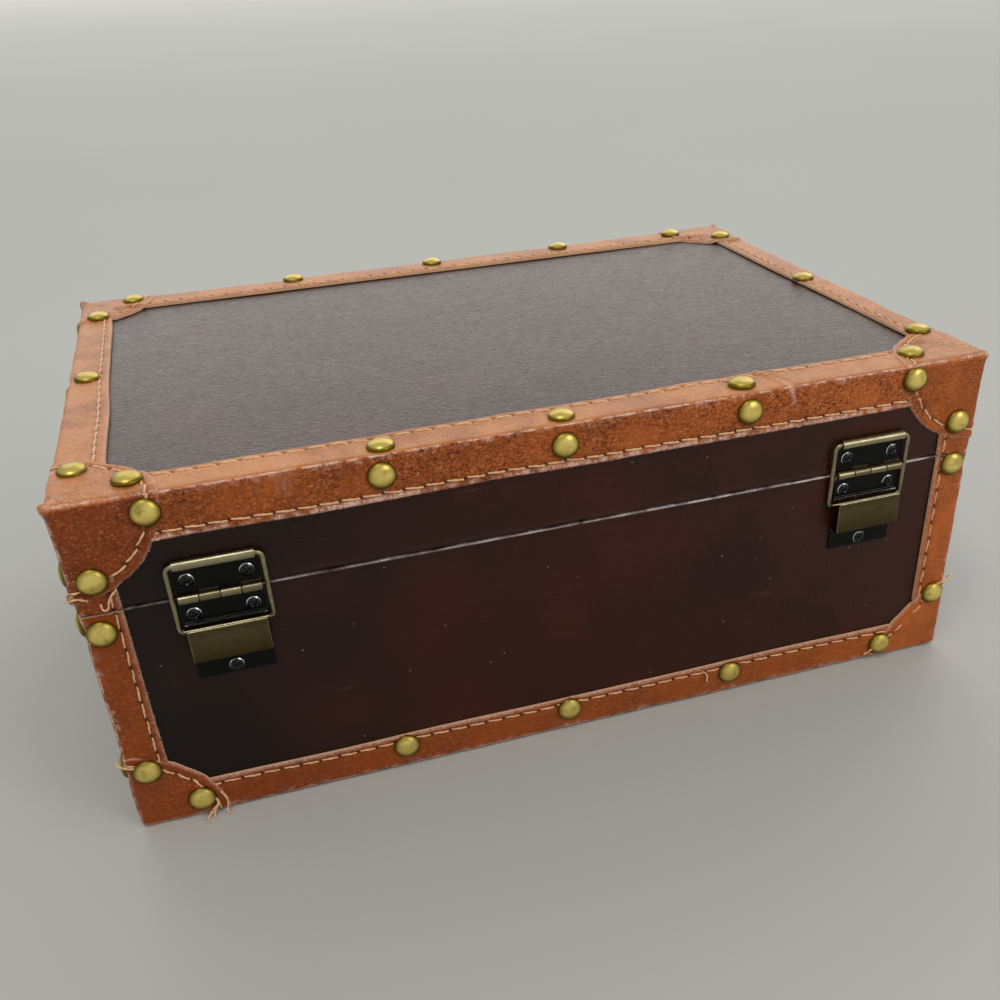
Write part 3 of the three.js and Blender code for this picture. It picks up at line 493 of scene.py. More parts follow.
@dataclass
class Strip(Leather):
    """Leather folded over one edge of the trunk. u runs along the edge and v across it:
    below zero on the wall, above zero on the other face. Pairs are for the wall leg and the
    other leg, or for the two ends. insets are how far the seams lie from the cut edges, with
    None for no seam; marks are its nails' places, each with the way that it faces; cut is
    the width of each leg at either end, as a share of its width; a crease is its place, slope,
    depth and width. dye_and_shade is how deep its colour is at either end, from its dyeing and
    from painted shade, wax how much dark wax lies in its grain, and level_share how much of
    both is on the leg that isn't a wall, which is left paler as painted light; sheen is how
    strong the painted highlight on its wall margin is, and bury how deep its stitches are
    pulled in."""

    origin: tuple
    along: tuple
    inward: tuple
    down: tuple
    ends: tuple
    widths: tuple
    insets: tuple
    marks: list
    seed: int
    cut: tuple = ((1, 1), (1, 1))
    creases: tuple = ()
    dye_and_shade: tuple = (0.75, 0.75)
    wax: float = 0.5
    level_share: float = 1.0
    sheen: float = 0.1
    bury: float = 0.0

    def __post_init__(self):
        start, end = self.ends
        self.holes = np.linspace(start, end, max(1, round((end - start) / STITCH_PITCH)) + 1)
        self.pitch = self.holes[1] - self.holes[0]
        self.seams = [sign * (width - inset)
                      for sign, width, inset in zip((-1, 1), self.widths, self.insets) if inset]

    def trimmed(self, u, leg):
        """How wide a leg is cut at u, as a share of its named width."""
        first, last = self.cut[leg]
        start, end = self.ends
        share = first + (last - first) * (u - start) / (end - start)
        wander = waves(np.stack([u, u * 0, u * 0 + leg * 70], axis=1), 60, self.seed + 5)
        return share + HAND_CUT * wander / self.widths[leg]

    def place(self, u, v, height):
        """A point at a height off the strip's face: flat on both legs, round over the fold."""
        v = v * np.where(v < 0, self.trimmed(u, 0), self.trimmed(u, 1))
        a, b = np.maximum(v, 0), np.maximum(-v, 0)
        core_a, core_b = np.maximum(a, STRIP_FOLD), np.maximum(b, STRIP_FOLD)
        out_a, out_b = a - core_a, b - core_b
        stretch = (STRIP_FOLD + height) / np.hypot(out_a, out_b)
        a, b = core_a + out_a * stretch, core_b + out_b * stretch
        return self.origin + u[:, None] * self.along + a[:, None] * self.inward + b[:, None] * self.down

    def needle(self, u, v):
        """How near a point is to a needle hole, from 0 to 1."""
        off = (u - self.ends[0]) / self.pitch
        off = np.abs(off - np.round(off)) * self.pitch
        return sum((hump(v - seam, 0.7) for seam in self.seams), u * 0) * hump(off, 0.8)

    def relief(self, u, v):
        """How high the leather stands off its flat place."""
        flat = self.place(u, v, 0)
        # The hide's own unevenness, and a fuller fold
        height = 0.13 * waves(flat, 24, self.seed) + 0.05 * waves(flat, 6, self.seed + 1)
        height += 0.16 * hump(v + 0.2, 0.6) * (1 + 0.5 * waves(flat, 9, self.seed + 6))
        # Each seam drawn down between two low swells
        for seam in self.seams:
            height += 0.16 * hump(np.abs(v - seam) - 1.7, 0.9) - 0.26 * hump(v - seam, 0.9)
        for at, slope, depth, width in self.creases:
            height += depth * hump(u - at - slope * v, width)
        return height - NEEDLE_DEPTH * self.needle(u, v) - self.pressed(flat)

    def rows(self):
        """Its rows of stitching: the surface under each, by the way along it, and its holes."""
        return [(lambda u, seam=seam: self.over(u, np.full_like(u, seam)), self.holes)
                for seam in self.seams]

    def columns(self):
        """Places across the strip, closer at the cut edges, the seams and the fold."""
        legs = []
        for width, inset in zip(self.widths, self.insets):
            seam = width - (inset or STRIP_SEAM_INSET)
            beside = [width, width - 0.35, width - 1, seam + 0.8, seam, seam - 0.8, seam - 1.7]
            middle = np.linspace(beside[-1], STRIP_FOLD, 2 + int((beside[-1] - STRIP_FOLD) / 1.3))[1:-1]
            legs.append(np.array([*beside, *middle, *np.linspace(STRIP_FOLD, 0, 5)]))
        return np.concatenate([-legs[0], legs[1][::-1][1:]])

    def shell(self):
        """Its points, faces, paint and marks: paint 1 on the cut edges."""
        along = np.linspace(*self.ends, (len(self.holes) - 1) * STITCH_ROWS + 1)
        top_v = self.columns()
        under_v = [self.widths[1], *np.linspace(STRIP_FOLD, -STRIP_FOLD, 7), -self.widths[0]]
        rows, across, columns = len(along), len(top_v), len(top_v) + len(under_v)
        u, v = (g.ravel() for g in np.meshgrid(along, top_v, indexing="ij"))
        low_u, low_v = (g.ravel() for g in np.meshgrid(along, under_v, indexing="ij"))
        from_cut = np.minimum(v + self.widths[0], self.widths[1] - v)
        outer = self.place(u, v, self.relief(u, v) - lip(from_cut))
        ragged = np.repeat(np.random.default_rng(self.seed + 9).normal(0, RAGGED, rows), across)
        ragged = np.where(from_cut < 0.01, ragged, 0)[:, None]
        outer += ragged * np.where(v[:, None] > 0, self.inward, self.down)
        inner = self.place(low_u, low_v, np.full_like(low_u, -HIDE))
        points, faces = tube(np.concatenate(
            [outer.reshape(rows, across, 3), inner.reshape(rows, -1, 3)], axis=1))
        cut_faces = np.isin(np.arange((rows - 1) * columns) % columns, (across - 1, columns - 1))
        paint = np.concatenate([cut_faces, [1, 1]]).astype(int)

        # Painted highlight along the fold, in patches, and on a band below it; wear at the cut edges and the
        # creases; painted highlight glinting on the wall margin
        patchy = 1 + 1.3 * waves(outer, 4, self.seed + 7) + 0.5 * waves(outer, 30, self.seed + 8)
        wear_and_highlight = 1.4 * hump(v + 0.35, 0.36) * np.clip(patchy, 0.1, 2.6) + 0.5 * hump(from_cut, 0.5)
        wear_and_highlight += 0.6 * hump(v + 1.3, 0.9) * np.clip(waves(outer, 2.6, self.seed + 10) - 0.1, 0, 1)
        for at, slope, depth, _ in self.creases:
            fade = np.clip(1 - np.abs(v + 1) / 9, 0, 1)
            wear_and_highlight += np.clip(4 * depth, 0, 1.2) * hump(u - at - slope * v, 0.7) * fade
        margin = np.clip((self.insets[0] - 0.5 - from_cut) / 0.6, 0, 1) * (v < 0)
        glints = 1.1 + 0.7 * waves(outer, 50, self.seed + 4) + 1.1 * waves(outer, 3, self.seed + 11)
        wear_and_highlight += self.sheen * margin * np.clip(glints, 0, 2.8)
        # Painted shade along the stitch grooves and in the needle holes
        groove = sum(0.4 * hump(v - seam, 0.5) for seam in self.seams)
        needle = np.clip(self.needle(u, v) + groove, 0, 1)
        # The leg that isn't a wall is left paler and with less wax: painted light
        share = self.level_share + (1 - self.level_share) * np.clip(0.6 - v, 0, 1)
        wear_and_highlight, needle, share = (
            np.pad(values.reshape(rows, across), ((0, 0), (0, len(under_v))), constant_values=under)
            for values, under in ((wear_and_highlight, 0), (needle, 0), (share, 1)))
        # Deeper colour towards one end: the leather's dyeing, with painted shade
        dye_and_shade = share * np.linspace(*self.dye_and_shade, rows)[:, None]
        marks = {"wear_and_highlight": wear_and_highlight.ravel(), "needle": needle.ravel(), "dye_and_shade": dye_and_shade.ravel(),
                 "wax": share.ravel() * self.wax * self.grained(points)}
        return points, faces, paint, marks

    def rims(self):
        """Its cut edges: points along each, and the way that each faces."""
        start, end = self.ends
        u = np.linspace(start, end, int((end - start) * FIBRES_PER_MM))
        for v in (-self.widths[0], self.widths[1]):
            yield self.rim((u, np.full_like(u, v)), (u, np.full_like(u, v * 0.9)))


@dataclass
class Cap(Leather):
    """Leather formed over one corner: three lobes of one radius. turn runs round the corner,
    a quarter turn to each face: the end wall, the long wall and the level face. widths are
    how far the strips under it reach in from its folds, flats how much flatter each lobe is
    cut, bunch how far it puckers at its foot, and tip how far its point is drawn out."""

    side_x: int
    side_y: int
    level: float
    upward: int
    radius: float
    widths: tuple
    seed: int
    flats: tuple = (0, 0, 0)
    marks: tuple = ()
    bunch: float = 0.0
    tip: float = 0.0
    dye_and_shade: float = 0.8
    wax: float = 0.6
    bury: float = 0.0

    def __post_init__(self):
        self.corner = np.array([self.side_x * CAP_HALF[0], self.side_y * CAP_HALF[1], self.level])
        self.inward = np.array([-self.side_x, -self.side_y, self.upward], float)
        self.grounded = self.upward > 0
        self.holes = np.arange(CAP_STITCHES * (2 if self.grounded else 3) + 1) / CAP_STITCHES

    def edge(self, turn):
        """The radius that the cap is cut to: hand cut, and flatter on some lobes."""
        lobe = np.minimum(turn % 3, 2.999)
        flat = np.array(self.flats)[lobe.astype(int)] * np.sin(math.pi * (lobe % 1)) ** 2
        angle = turn * CAP_THIRD
        circle = np.stack([np.cos(angle), np.sin(angle), turn * 0], axis=1) * 30
        cut = 0.35 * waves(circle, 40, self.seed + 3) + 0.12 * waves(circle, 7, self.seed + 4)
        return self.radius * (1 - flat) + cut

    def spread(self, radius, turn):
        """Sharp-cornered distances in from the three faces."""
        lobe = np.floor(turn % 3).astype(int)
        angle = (turn % 1) * math.pi / 2
        near, far = radius * np.cos(angle), radius * np.sin(angle)
        nothing = np.zeros(len(turn))
        places = ((nothing, near, far), (far, nothing, near), (near, far, nothing))
        return np.stack([np.choose(lobe, across) for across in zip(*places)], axis=1)

    def place(self, radius, turn, height):
        """A point at a height off the cap's face: flat on three faces, round over their folds."""
        sharp = self.spread(radius, turn)
        core = np.maximum(sharp, CAP_FOLD)
        formed = core + unit(sharp - core) * (CAP_FOLD + np.reshape(height, (-1, 1)))
        return self.corner + formed * self.inward

    def stitched(self, turn):
        """Whether the seam runs at a turn: it leaves out a lobe that lies on the ground."""
        return turn <= self.holes[-1] + 0.01

    def needle(self, radius, turn):
        """How near a point is to a needle hole, from 0 to 1."""
        off = np.abs(turn * CAP_STITCHES - np.round(turn * CAP_STITCHES)) / CAP_STITCHES * self.radius * 1.4
        seam = hump(radius - self.edge(turn) + CAP_SEAM_INSET, 0.7)
        return np.where(self.stitched(turn), seam * hump(off, 0.8), 0)

    def relief(self, radius, turn):
        """How high the leather stands off its flat place: it sags onto the panel past the strips."""
        sharp = self.spread(radius, turn)
        flat = self.corner + sharp * self.inward
        lobe = np.floor(turn % 3).astype(int)
        in_x, in_y, in_z = sharp.T
        along, rise, level_x, level_y = self.widths
        first = np.choose(lobe, [in_y - along, in_x - along, in_x - level_x])
        second = np.choose(lobe, [in_z - rise, in_z - rise, in_y - level_y])
        off_strips = np.clip(np.minimum(first, second) / 3.5 + 0.5, 0, 1)
        height = -0.95 * off_strips ** 2 * (3 - 2 * off_strips)
        height += 0.2 * waves(flat, 22, self.seed) + 0.07 * waves(flat, 6, self.seed + 1)
        from_seam = radius - self.edge(turn) + CAP_SEAM_INSET
        drawn_in = 0.18 * hump(np.abs(from_seam) - 1.8, 1.0) - 0.3 * hump(from_seam, 0.9)
        height += self.stitched(turn) * drawn_in - NEEDLE_DEPTH * self.needle(radius, turn)
        low = np.clip((in_z - 0.68 * self.radius) / (0.3 * self.radius), 0, 1)
        height += self.bunch * low * waves(flat, 4.5, self.seed + 2) - self.pressed(flat)
        height = np.minimum(height, np.where((lobe == 2) & self.grounded, -0.02, 1.2))
        return height + self.tip * hump(radius, 2.6)

    def rows(self):
        """Its one row of stitching: the surface under it, by the way round, and its holes."""
        return [(lambda turn: self.over(self.edge(turn) - CAP_SEAM_INSET, turn), self.holes)]

    def shell(self):
        """Its points, faces, paint and marks: paint 1 on the cut edge."""
        turn = np.arange(CAP_TURN_STEPS * 3) / CAP_TURN_STEPS
        cut = self.edge(turn)
        seam = CAP_SEAM_INSET
        beside = [seam + 1.8, seam + 0.8, seam, seam - 0.8, 2.8, 2, 1, 0.35, 0]
        radii = [np.full_like(turn, r) for r in np.linspace(0.6, self.radius - beside[0], CAP_RINGS)[:-1]]
        radii += [cut - inset for inset in beside]
        rings, wear_and_highlight, needle = [], [], []
        for radius in radii:
            from_cut = cut - radius
            rings.append(self.place(radius, turn, self.relief(radius, turn) - lip(from_cut)))
            # Painted highlight along the folds in patches, wear at the cut edge, and painted shade in the
            # needle holes and along the stitch groove
            fold = hump(np.sort(self.spread(radius, turn), axis=1)[:, 1], 0.8)
            patchy = np.clip(0.9 + 0.9 * waves(rings[-1], 4, self.seed + 6), 0, 2)
            wear_and_highlight.append(fold * patchy + hump(from_cut, 0.5) * 0.6)
            groove = 0.35 * hump(from_cut - seam, 0.5) * self.stitched(turn)
            needle.append(np.clip(self.needle(radius, turn) + groove, 0, 1))
        ragged = np.random.default_rng(self.seed + 9).normal(0, RAGGED, len(turn))
        rings[-1] = self.place(cut + ragged, turn, self.relief(cut, turn) - LIP_DROP)
        for share in CAP_BACK_SHARES:
            back = np.maximum(self.relief(cut * share, turn) - HIDE, -HIDE - 0.85)
            rings.append(self.place(cut * share, turn, back))
        points, faces = tube(np.stack(rings))
        row = np.arange((len(rings) - 1) * len(turn)) // len(turn)
        paint = np.concatenate([row == len(radii) - 1, [0, 0]]).astype(int)
        unmarked = [np.zeros(len(turn) * len(CAP_BACK_SHARES))]
        # The level lobe is left paler and with less wax: painted light
        share = 0.12 + 0.88 * np.clip(((points - self.corner)[:, 2] * self.inward[2] - 0.5) / 1.5, 0, 1)
        marks = {"wear_and_highlight": np.concatenate(wear_and_highlight + unmarked), "needle": np.concatenate(needle + unmarked),
                 "dye_and_shade": self.dye_and_shade * share, "wax": self.wax * (0.35 + 0.65 * share) * self.grained(points)}
        return points, faces, paint, marks

    def rims(self):
        """Its cut edge: points round it, and the way that they face."""
        turn = np.arange(0, 3, 1 / (self.radius * 1.57 * FIBRES_PER_MM))
        yield self.rim((self.edge(turn), turn), (self.edge(turn) * 0.95, turn))


def raw_fibres(rims, seed):
    """Points and faces of the short fibres that stand out of cut hide: thin spikes."""
    draw = np.random.default_rng(seed)
    parts = []
    for edge, facing in rims:
        count = len(edge)
        root = edge + draw.normal(0, 0.12, (count, 3))
        tip = unit(unit(facing) + draw.normal(0, 0.55, (count, 3)))
        tip = root + tip * draw.uniform(0.25, 0.75, (count, 1))
        across = FIBRE_WIDTH * unit(draw.normal(0, 1, (2, count, 3)))
        corners = np.stack([root, root + across[0], root + across[1], tip], axis=1).reshape(-1, 3)
        corners[:, 2] = np.maximum(corners[:, 2], 0.05)
        faces = [[4 * i + a, 4 * i + b, 4 * i + c] for i in range(count)
                 for a, b, c in ((0, 2, 1), (0, 1, 3), (1, 2, 3), (2, 0, 3))]
        parts.append((corners, faces))
    return parts


def stitches(surface, holes, seed, bury):
    """Points and faces of saddle stitches: each comes up from one hole and slants to the next.
    bury is how much lower than its thread's own radius a seam has been pulled down."""
    draw = np.random.default_rng(seed)
    count = len(holes) - 1
    t = np.linspace(0, 1, THREAD_STEPS)
    step = np.diff(holes)[:, None]
    s = (holes[:-1, None] + step * (1.02 * t - 0.01)).ravel()
    point, normal = surface(s)
    nudge = np.repeat(step[:, 0], THREAD_STEPS) * 0.01
    side = unit(np.cross(normal, unit(surface(s + nudge)[0] - surface(s - nudge)[0])))
    arch = np.tile(np.sin(math.pi * t) ** 0.2, count)
    lift = np.repeat(draw.uniform(0.7, 1.35, count) * THREAD_LIFT, THREAD_STEPS)
    slant = np.repeat(draw.uniform(0.6, 1.3, count) * THREAD_SLANT, THREAD_STEPS)
    height = (0.75 + lift) * arch - 0.75 - bury
    centre = point + normal * height[:, None] + side * (slant * np.tile(1 - 2 * t, count))[:, None]
    length = np.linalg.norm(surface(holes[1:2])[0] - surface(holes[:1])[0])
    twist = np.tile(t, count) * 2 * math.pi * length / THREAD_LAY / 2
    radius = THREAD_RADIUS * (0.72 + 0.28 * arch)
    sections = thread_sections(centre, normal, side, radius, twist)
    return [tube(section) for section in sections.reshape(count, THREAD_STEPS, THREAD_SIDES, 3)]


def loose_thread(name, body, paths):
    """Free ends of thread, each softened through a few points, with two plies twisted."""
    parts = []
    for path in paths:
        knots = np.array(path, float)
        knots[:, 1] += CAP_HALF[1] + LOOSE_THREAD_STAND
        t = np.linspace(0, len(knots) - 1, 10 * (len(knots) - 1) + 1)
        line = np.column_stack([np.interp(t, range(len(knots)), along) for along in knots.T])
        for _ in range(10):
            line[1:-1] = (line[:-2] + 2 * line[1:-1] + line[2:]) / 4
        step = np.gradient(line, axis=0)
        aside = unit(np.cross(unit(step), (0.31, 0.22, 0.93)))
        rise = np.cross(aside, unit(step))
        twist = np.cumsum(np.linalg.norm(step, axis=1)) * math.pi / THREAD_LAY
        parts.append(tube(thread_sections(line, aside, rise, THREAD_RADIUS * LOOSE_THREAD_SHARE, twist)))
    make_piece(name, body, parts, THREAD, crisp=80)


def nail_head(mark, draw):
    """One struck nail, a dome with a turned rim, leaning and dented a little: its points, its
    faces, and how dark each point is painted: painted shade at the rim and on the lower side of a
    nail on a wall, and on the front side of a nail on top."""
    centre, normal = mark
    profile = [(NAIL_RADIUS * math.sin(a), NAIL_HEIGHT * math.cos(a) ** 1.15)
               for a in np.radians([2, *range(8, 89, 8)])]
    profile += [(NAIL_RADIUS - 0.05, -0.3), (NAIL_RADIUS - 0.5, -0.45), (0.4, -0.45)]
    lean = Vector(normal) + Vector(draw.normal(0, 0.02, 3))
    turned = np.array(Vector((0, 0, 1)).rotation_difference(lean.normalized()).to_matrix())
    angles = np.arange(NAIL_SIDES) * 2 * math.pi / NAIL_SIDES + draw.uniform(0, 6)
    dents = draw.uniform(-2.5, 2.5, (3, 2))
    rings = []
    for radius, height in profile:
        ring = np.column_stack([radius * np.cos(angles), radius * np.sin(angles), angles * 0 + height])
        for dent in dents:
            ring[:, 2] -= 0.09 * hump(np.linalg.norm(ring[:, :2] - dent, axis=1), 1.1) * (height > 0)
        rings.append(ring)
    rings = np.stack(rings)
    rings[..., :2] *= 1 + draw.normal(0, 0.012)
    points, faces = tube(rings)
    from_middle = np.linalg.norm(points[:, :2], axis=1) / NAIL_RADIUS
    placed = points @ turned.T
    _, back, up = placed.T / NAIL_RADIUS
    # Painted shade: the rim and lower side of a wall nail, the front side of a nail on top
    if normal[2] > 0.5:
        tarnish_and_shade = np.clip((from_middle - 0.84) / 0.12, 0, 1) + np.clip(0.75 - 0.5 * back, 0, 1)
    else:
        tarnish_and_shade = np.clip((from_middle - 0.5) / 0.46, 0, 1) ** 1.3 + 1.3 * np.clip(-up - 0.15, 0, 1)
    return placed + centre, faces, np.clip(tarnish_and_shade, 0, 1)


def add_leather(name, body, leather, stands_for=None):
    """A leather piece with the fibres of its cut edges, its nails and its stitching."""
    points, faces, paint, marks = leather.shell()
    make_piece(name, body, [(points, faces)], TAN_HIDE, RAW_EDGE, stands_for=stands_for, paint=paint,
               marks=marks, crisp=60)
    make_piece(f"{name}_raw_fibres", body, raw_fibres(leather.rims(), leather.seed + 40), RAW_EDGE)
    if leather.marks:
        draw = np.random.default_rng(leather.seed + 20)
        nails = [nail_head(mark, draw) for mark in leather.marks]
        make_piece(f"{name}_nails", body, [nail[:2] for nail in nails], NAIL_BRASS,
                   marks={"tarnish_and_shade": np.concatenate([nail[2] for nail in nails])})
    sewn = []
    for index, (surface, holes) in enumerate(leather.rows()):
        sewn += stitches(surface, holes, leather.seed + 30 + index, leather.bury)
    make_piece(f"{name}_stitching", body, sewn, THREAD, crisp=80)


# How far the hand-set nails of the photographed faces sit off their marks, in millimetres:
# along and away from the edge in a row, further in from both edges on a cap or an upright
STRAYS = {
    "lid_wall_rear": ((-2.6, 0.4), (0.2, 1.2), (-3.1, 0.9)),
    "lid_top_rear": ((-3.3, 2.1), (-0.8, -0.2), (-4.7, -0.7)),
    "lid_top_front": ((-7.0, -4.1), (-5.2, -4.2), (-0.9, -5.3)),
    "lid_top_left": ((-3.8, 1.7),),
    "lid_top_right": ((-2.8, 0.1),),
    "base_wall_rear": ((-1.2, -0.1), (1.5, -0.1), (0.4, 0.2)),
    "lid_cap_rear_right_wall": ((0.5, 0.0), (1.1, -0.5)),
    "lid_cap_rear_left_wall": ((1.2, -1.5), (3.0, -1.6)),
    "base_cap_rear_right_wall": ((-0.1, -0.2), (-2.2, 0.1)),
    "base_cap_rear_left_wall": ((-1.3, 2.1), (3.5, -0.8)),
    "lid_cap_rear_right_top": ((0.0, -2.5), (-2.9, 4.0)),
    "lid_cap_rear_left_top": ((0.4, 5.2), (-1.7, 3.7)),
    "lid_cap_front_right_top": ((1.3, 1.7), (-3.6, -0.5)),
    "lid_cap_front_left_top": ((1.3, -2.7), (2.6, 0.7)),
    "base_post_rear_right_wall": ((-1.3, 1.1),),
    "base_post_rear_left_wall": ((-0.1, -2.0),),
}

# Widths that the photographed strips are cut to at their ends, as shares of the named width
LID_CUTS = {
    "rear": ((1.03, 1.06), (1.05, 0.88)),
    "front": ((1, 1), (1.04, 0.94)),
    "right": ((1, 1), (0.96, 1.19)),
    "left": ((1, 1), (0.87, 0.84)),
}

# Creases across the photographed edge of the lid: place along it, slope, depth and width
REAR_CREASES = (
    (-84.0, 0.3, 0.55, 0.9),
    (-86.2, 0.3, -0.5, 0.9),
    (31.5, -0.3, -0.35, 0.35),
    (95.4, -0.12, 0.08, 0.7),
    (92.9, -0.12, 0.1, 0.7),
    (90.6, -0.1, 0.06, 0.7),
)

# How far the strips under a cap reach in from its folds: from the upright fold, from the level
# folds on the walls, and on the level face from the end wall and from the long wall
LID_UNDER_CAP = (14.5, 16.5, 15, 18)
BASE_UNDER_CAP = (14.5, 14.5, 15, 15)

CORNERS = [("front_left", -1, -1), ("front_right", 1, -1), ("rear_left", -1, 1), ("rear_right", 1, 1)]


def strays(name, count):
    """How far each of a few nails sits off its mark: as listed, or a little at random."""
    return STRAYS[name] if name in STRAYS else rng.uniform(-0.8, 0.8, (count, 2))


def row_marks(name, shares, length, normal, origin, along, across, distance):
    """Nail places in a row along an edge, with the nails' strays."""
    return [(origin + along * (share * length + shift) + across * (distance + wander), normal)
            for share, (shift, wander) in zip(shares, strays(name, len(shares)))]


def edges(radius, width):
    """The trunk's four edges: name, the ways along and out, its length, where the strip's faces
    stand, the places where a strip of a width ends under caps of a radius, and its nails' places
    as shares of the length."""
    x, y, _ = AXES
    for edge, along, out in (("front", x, -y), ("rear", x, y), ("left", y, -x), ("right", y, x)):
        axis = int(along[1])
        half = CAP_HALF[axis]
        reach = half - math.sqrt(radius ** 2 - width ** 2) + UNDERLAP
        shares = (0.0,) if axis else ROW_NAIL_SHARES
        yield edge, along, out, 2 * half, out * STRIP_HALF[1 - axis], (-reach, reach), shares


def lid_strips():
    """The edging of the lid's top edges: nailed on both faces, and darker on its walls than on its top, which
    is left paler as painted light.
    """
    up, from_fold = AXES[2], NAIL_FROM_EDGE - (CAP_STAND - STRIP_STAND)
    lid_edges = edges(LID_CAP_RADIUS, LID_UNDER_CAP[-1])
    for seed, (edge, along, out, length, stand, ends, shares) in enumerate(lid_edges, 100):
        rear = edge == "rear"
        origin = stand + up * STRIP_TOP
        marks = row_marks(f"lid_wall_{edge}", shares, length, out, origin, along, -up, from_fold)
        marks += row_marks(f"lid_top_{edge}", shares, length, up, origin, along, -out, from_fold)
        widths = (LID_DROP, LID_TOP_WIDTH if along[0] else LID_END_WIDTH)
        strip = Strip(origin, along, -out, -up, ends, widths, (STRIP_SEAM_INSET, TOP_SEAM_INSET), marks, seed,
                      cut=LID_CUTS[edge], creases=REAR_CREASES if rear else (), dye_and_shade=(0.5, 0.78), wax=1.0,
                      level_share=0.12, sheen=1.1 if rear else 0.4)
        add_leather(f"lid_strip_{edge}", "lid", strip, f"lid_edging_{edge}")


def base_strips():
    """The edging of the base's bottom edges: nailed and sewn on its walls only."""
    up, from_fold = AXES[2], BASE_ROW_NAIL - UNDER_STAND
    base_edges = edges(BASE_CAP_RADIUS, BASE_UNDER_CAP[-1])
    for seed, (edge, along, out, length, stand, ends, shares) in enumerate(base_edges, 200):
        origin = stand + up * UNDER_STAND
        marks = row_marks(f"base_wall_{edge}", shares, length, out, origin, along, up, from_fold)
        strip = Strip(origin, along, -out, up, ends, (BASE_RISE, BASE_UNDER_WIDTH), (STRIP_SEAM_INSET, None),
                      marks, seed, dye_and_shade=(0.75, 1.0), wax=0.45, bury=0.16)
        add_leather(f"base_strip_{edge}", "base", strip, f"base_edging_{edge}")


def post(side_x, side_y, low, high, marks, seed, dye_and_shade, wax):
    """Leather folded over an upright corner, its wall leg on the long wall."""
    origin = (side_x * STRIP_HALF[0], side_y * STRIP_HALF[1], 0)
    return Strip(origin, AXES[2], (0, -side_y, 0), (-side_x, 0, 0), (low, high), (POST_WIDTH, POST_WIDTH),
                 (STRIP_SEAM_INSET, STRIP_SEAM_INSET), marks, seed, dye_and_shade=(dye_and_shade, dye_and_shade), wax=wax, bury=0.22)


def cap_marks(name, cap, reach, lobes):
    """The nails of a cap: two on each lobe named, one near either fold."""
    places, marks = ((NAIL_FROM_EDGE, reach), (reach, NAIL_FROM_EDGE)), []
    for axis, lobe in enumerate(lobes):
        for place, stray in zip(places, strays(f"{name}_{lobe}", 2)):
            depths = np.insert(np.add(place, stray), axis, 0)
            marks.append((cap.corner + cap.inward * depths, -cap.inward[axis] * AXES[axis]))
    return marks


def corners_leather():
    """The caps, the upright edging of the base, and the short upright ends on the lid."""
    for index, (corner, side_x, side_y) in enumerate(CORNERS):
        # Deeper colour at +X: the leather's dyeing, with painted shade
        dye_and_shade, wax = (0.95, 1.0) if side_x > 0 else (0.6, 0.8)
        name = f"lid_cap_{corner}"
        cap = Cap(side_x, side_y, CAP_TOP, -1, LID_CAP_RADIUS, LID_UNDER_CAP, 300 + 10 * index,
                  bunch=0.7 if corner == "rear_right" else 0.15, tip=2.4 if side_x > 0 else 1.4,
                  dye_and_shade=dye_and_shade, wax=wax)
        cap.marks = cap_marks(name, cap, LID_NAIL_REACH, ("end", "wall", "top"))
        add_leather(name, "lid", cap, f"lid_corner_cap_{corner}")

        name = f"base_cap_{corner}"
        flats = (0.02, 0.17, 0) if corner == "rear_left" else (0.03, 0.06, 0)
        cap = Cap(side_x, side_y, 0, 1, BASE_CAP_RADIUS, BASE_UNDER_CAP, 305 + 10 * index, flats,
                  dye_and_shade=dye_and_shade, wax=wax / 2)
        cap.marks = cap_marks(name, cap, BASE_NAIL_REACH, ("end", "wall"))
        add_leather(name, "base", cap, f"base_corner_cap_{corner}")

        name = f"base_post_{corner}"
        sides, marks = np.array([side_x, side_y, 1]), []
        for axis, face in enumerate(("end", "wall")):
            (inset, drop), = strays(f"{name}_{face}", 1)
            spot = np.append(CAP_HALF - NAIL_FROM_EDGE - inset, BASE_RIM - POST_NAIL_DROP - drop)
            spot[axis] = STRIP_HALF[axis]
            marks.append((spot * sides, sides[axis] * AXES[axis]))
        low = BASE_CAP_RADIUS - UNDERLAP - 3
        upright = post(side_x, side_y, low, BASE_RIM - 0.2, marks, 400 + index, dye_and_shade, wax / 2)
        add_leather(name, "base", upright, f"base_post_edging_{corner}")

        stub = post(side_x, side_y, LID_RIM + 0.15, CAP_TOP - LID_CAP_RADIUS + 7, [], 410 + index, dye_and_shade, wax)
        add_leather(f"lid_post_end_{corner}", "lid", stub)


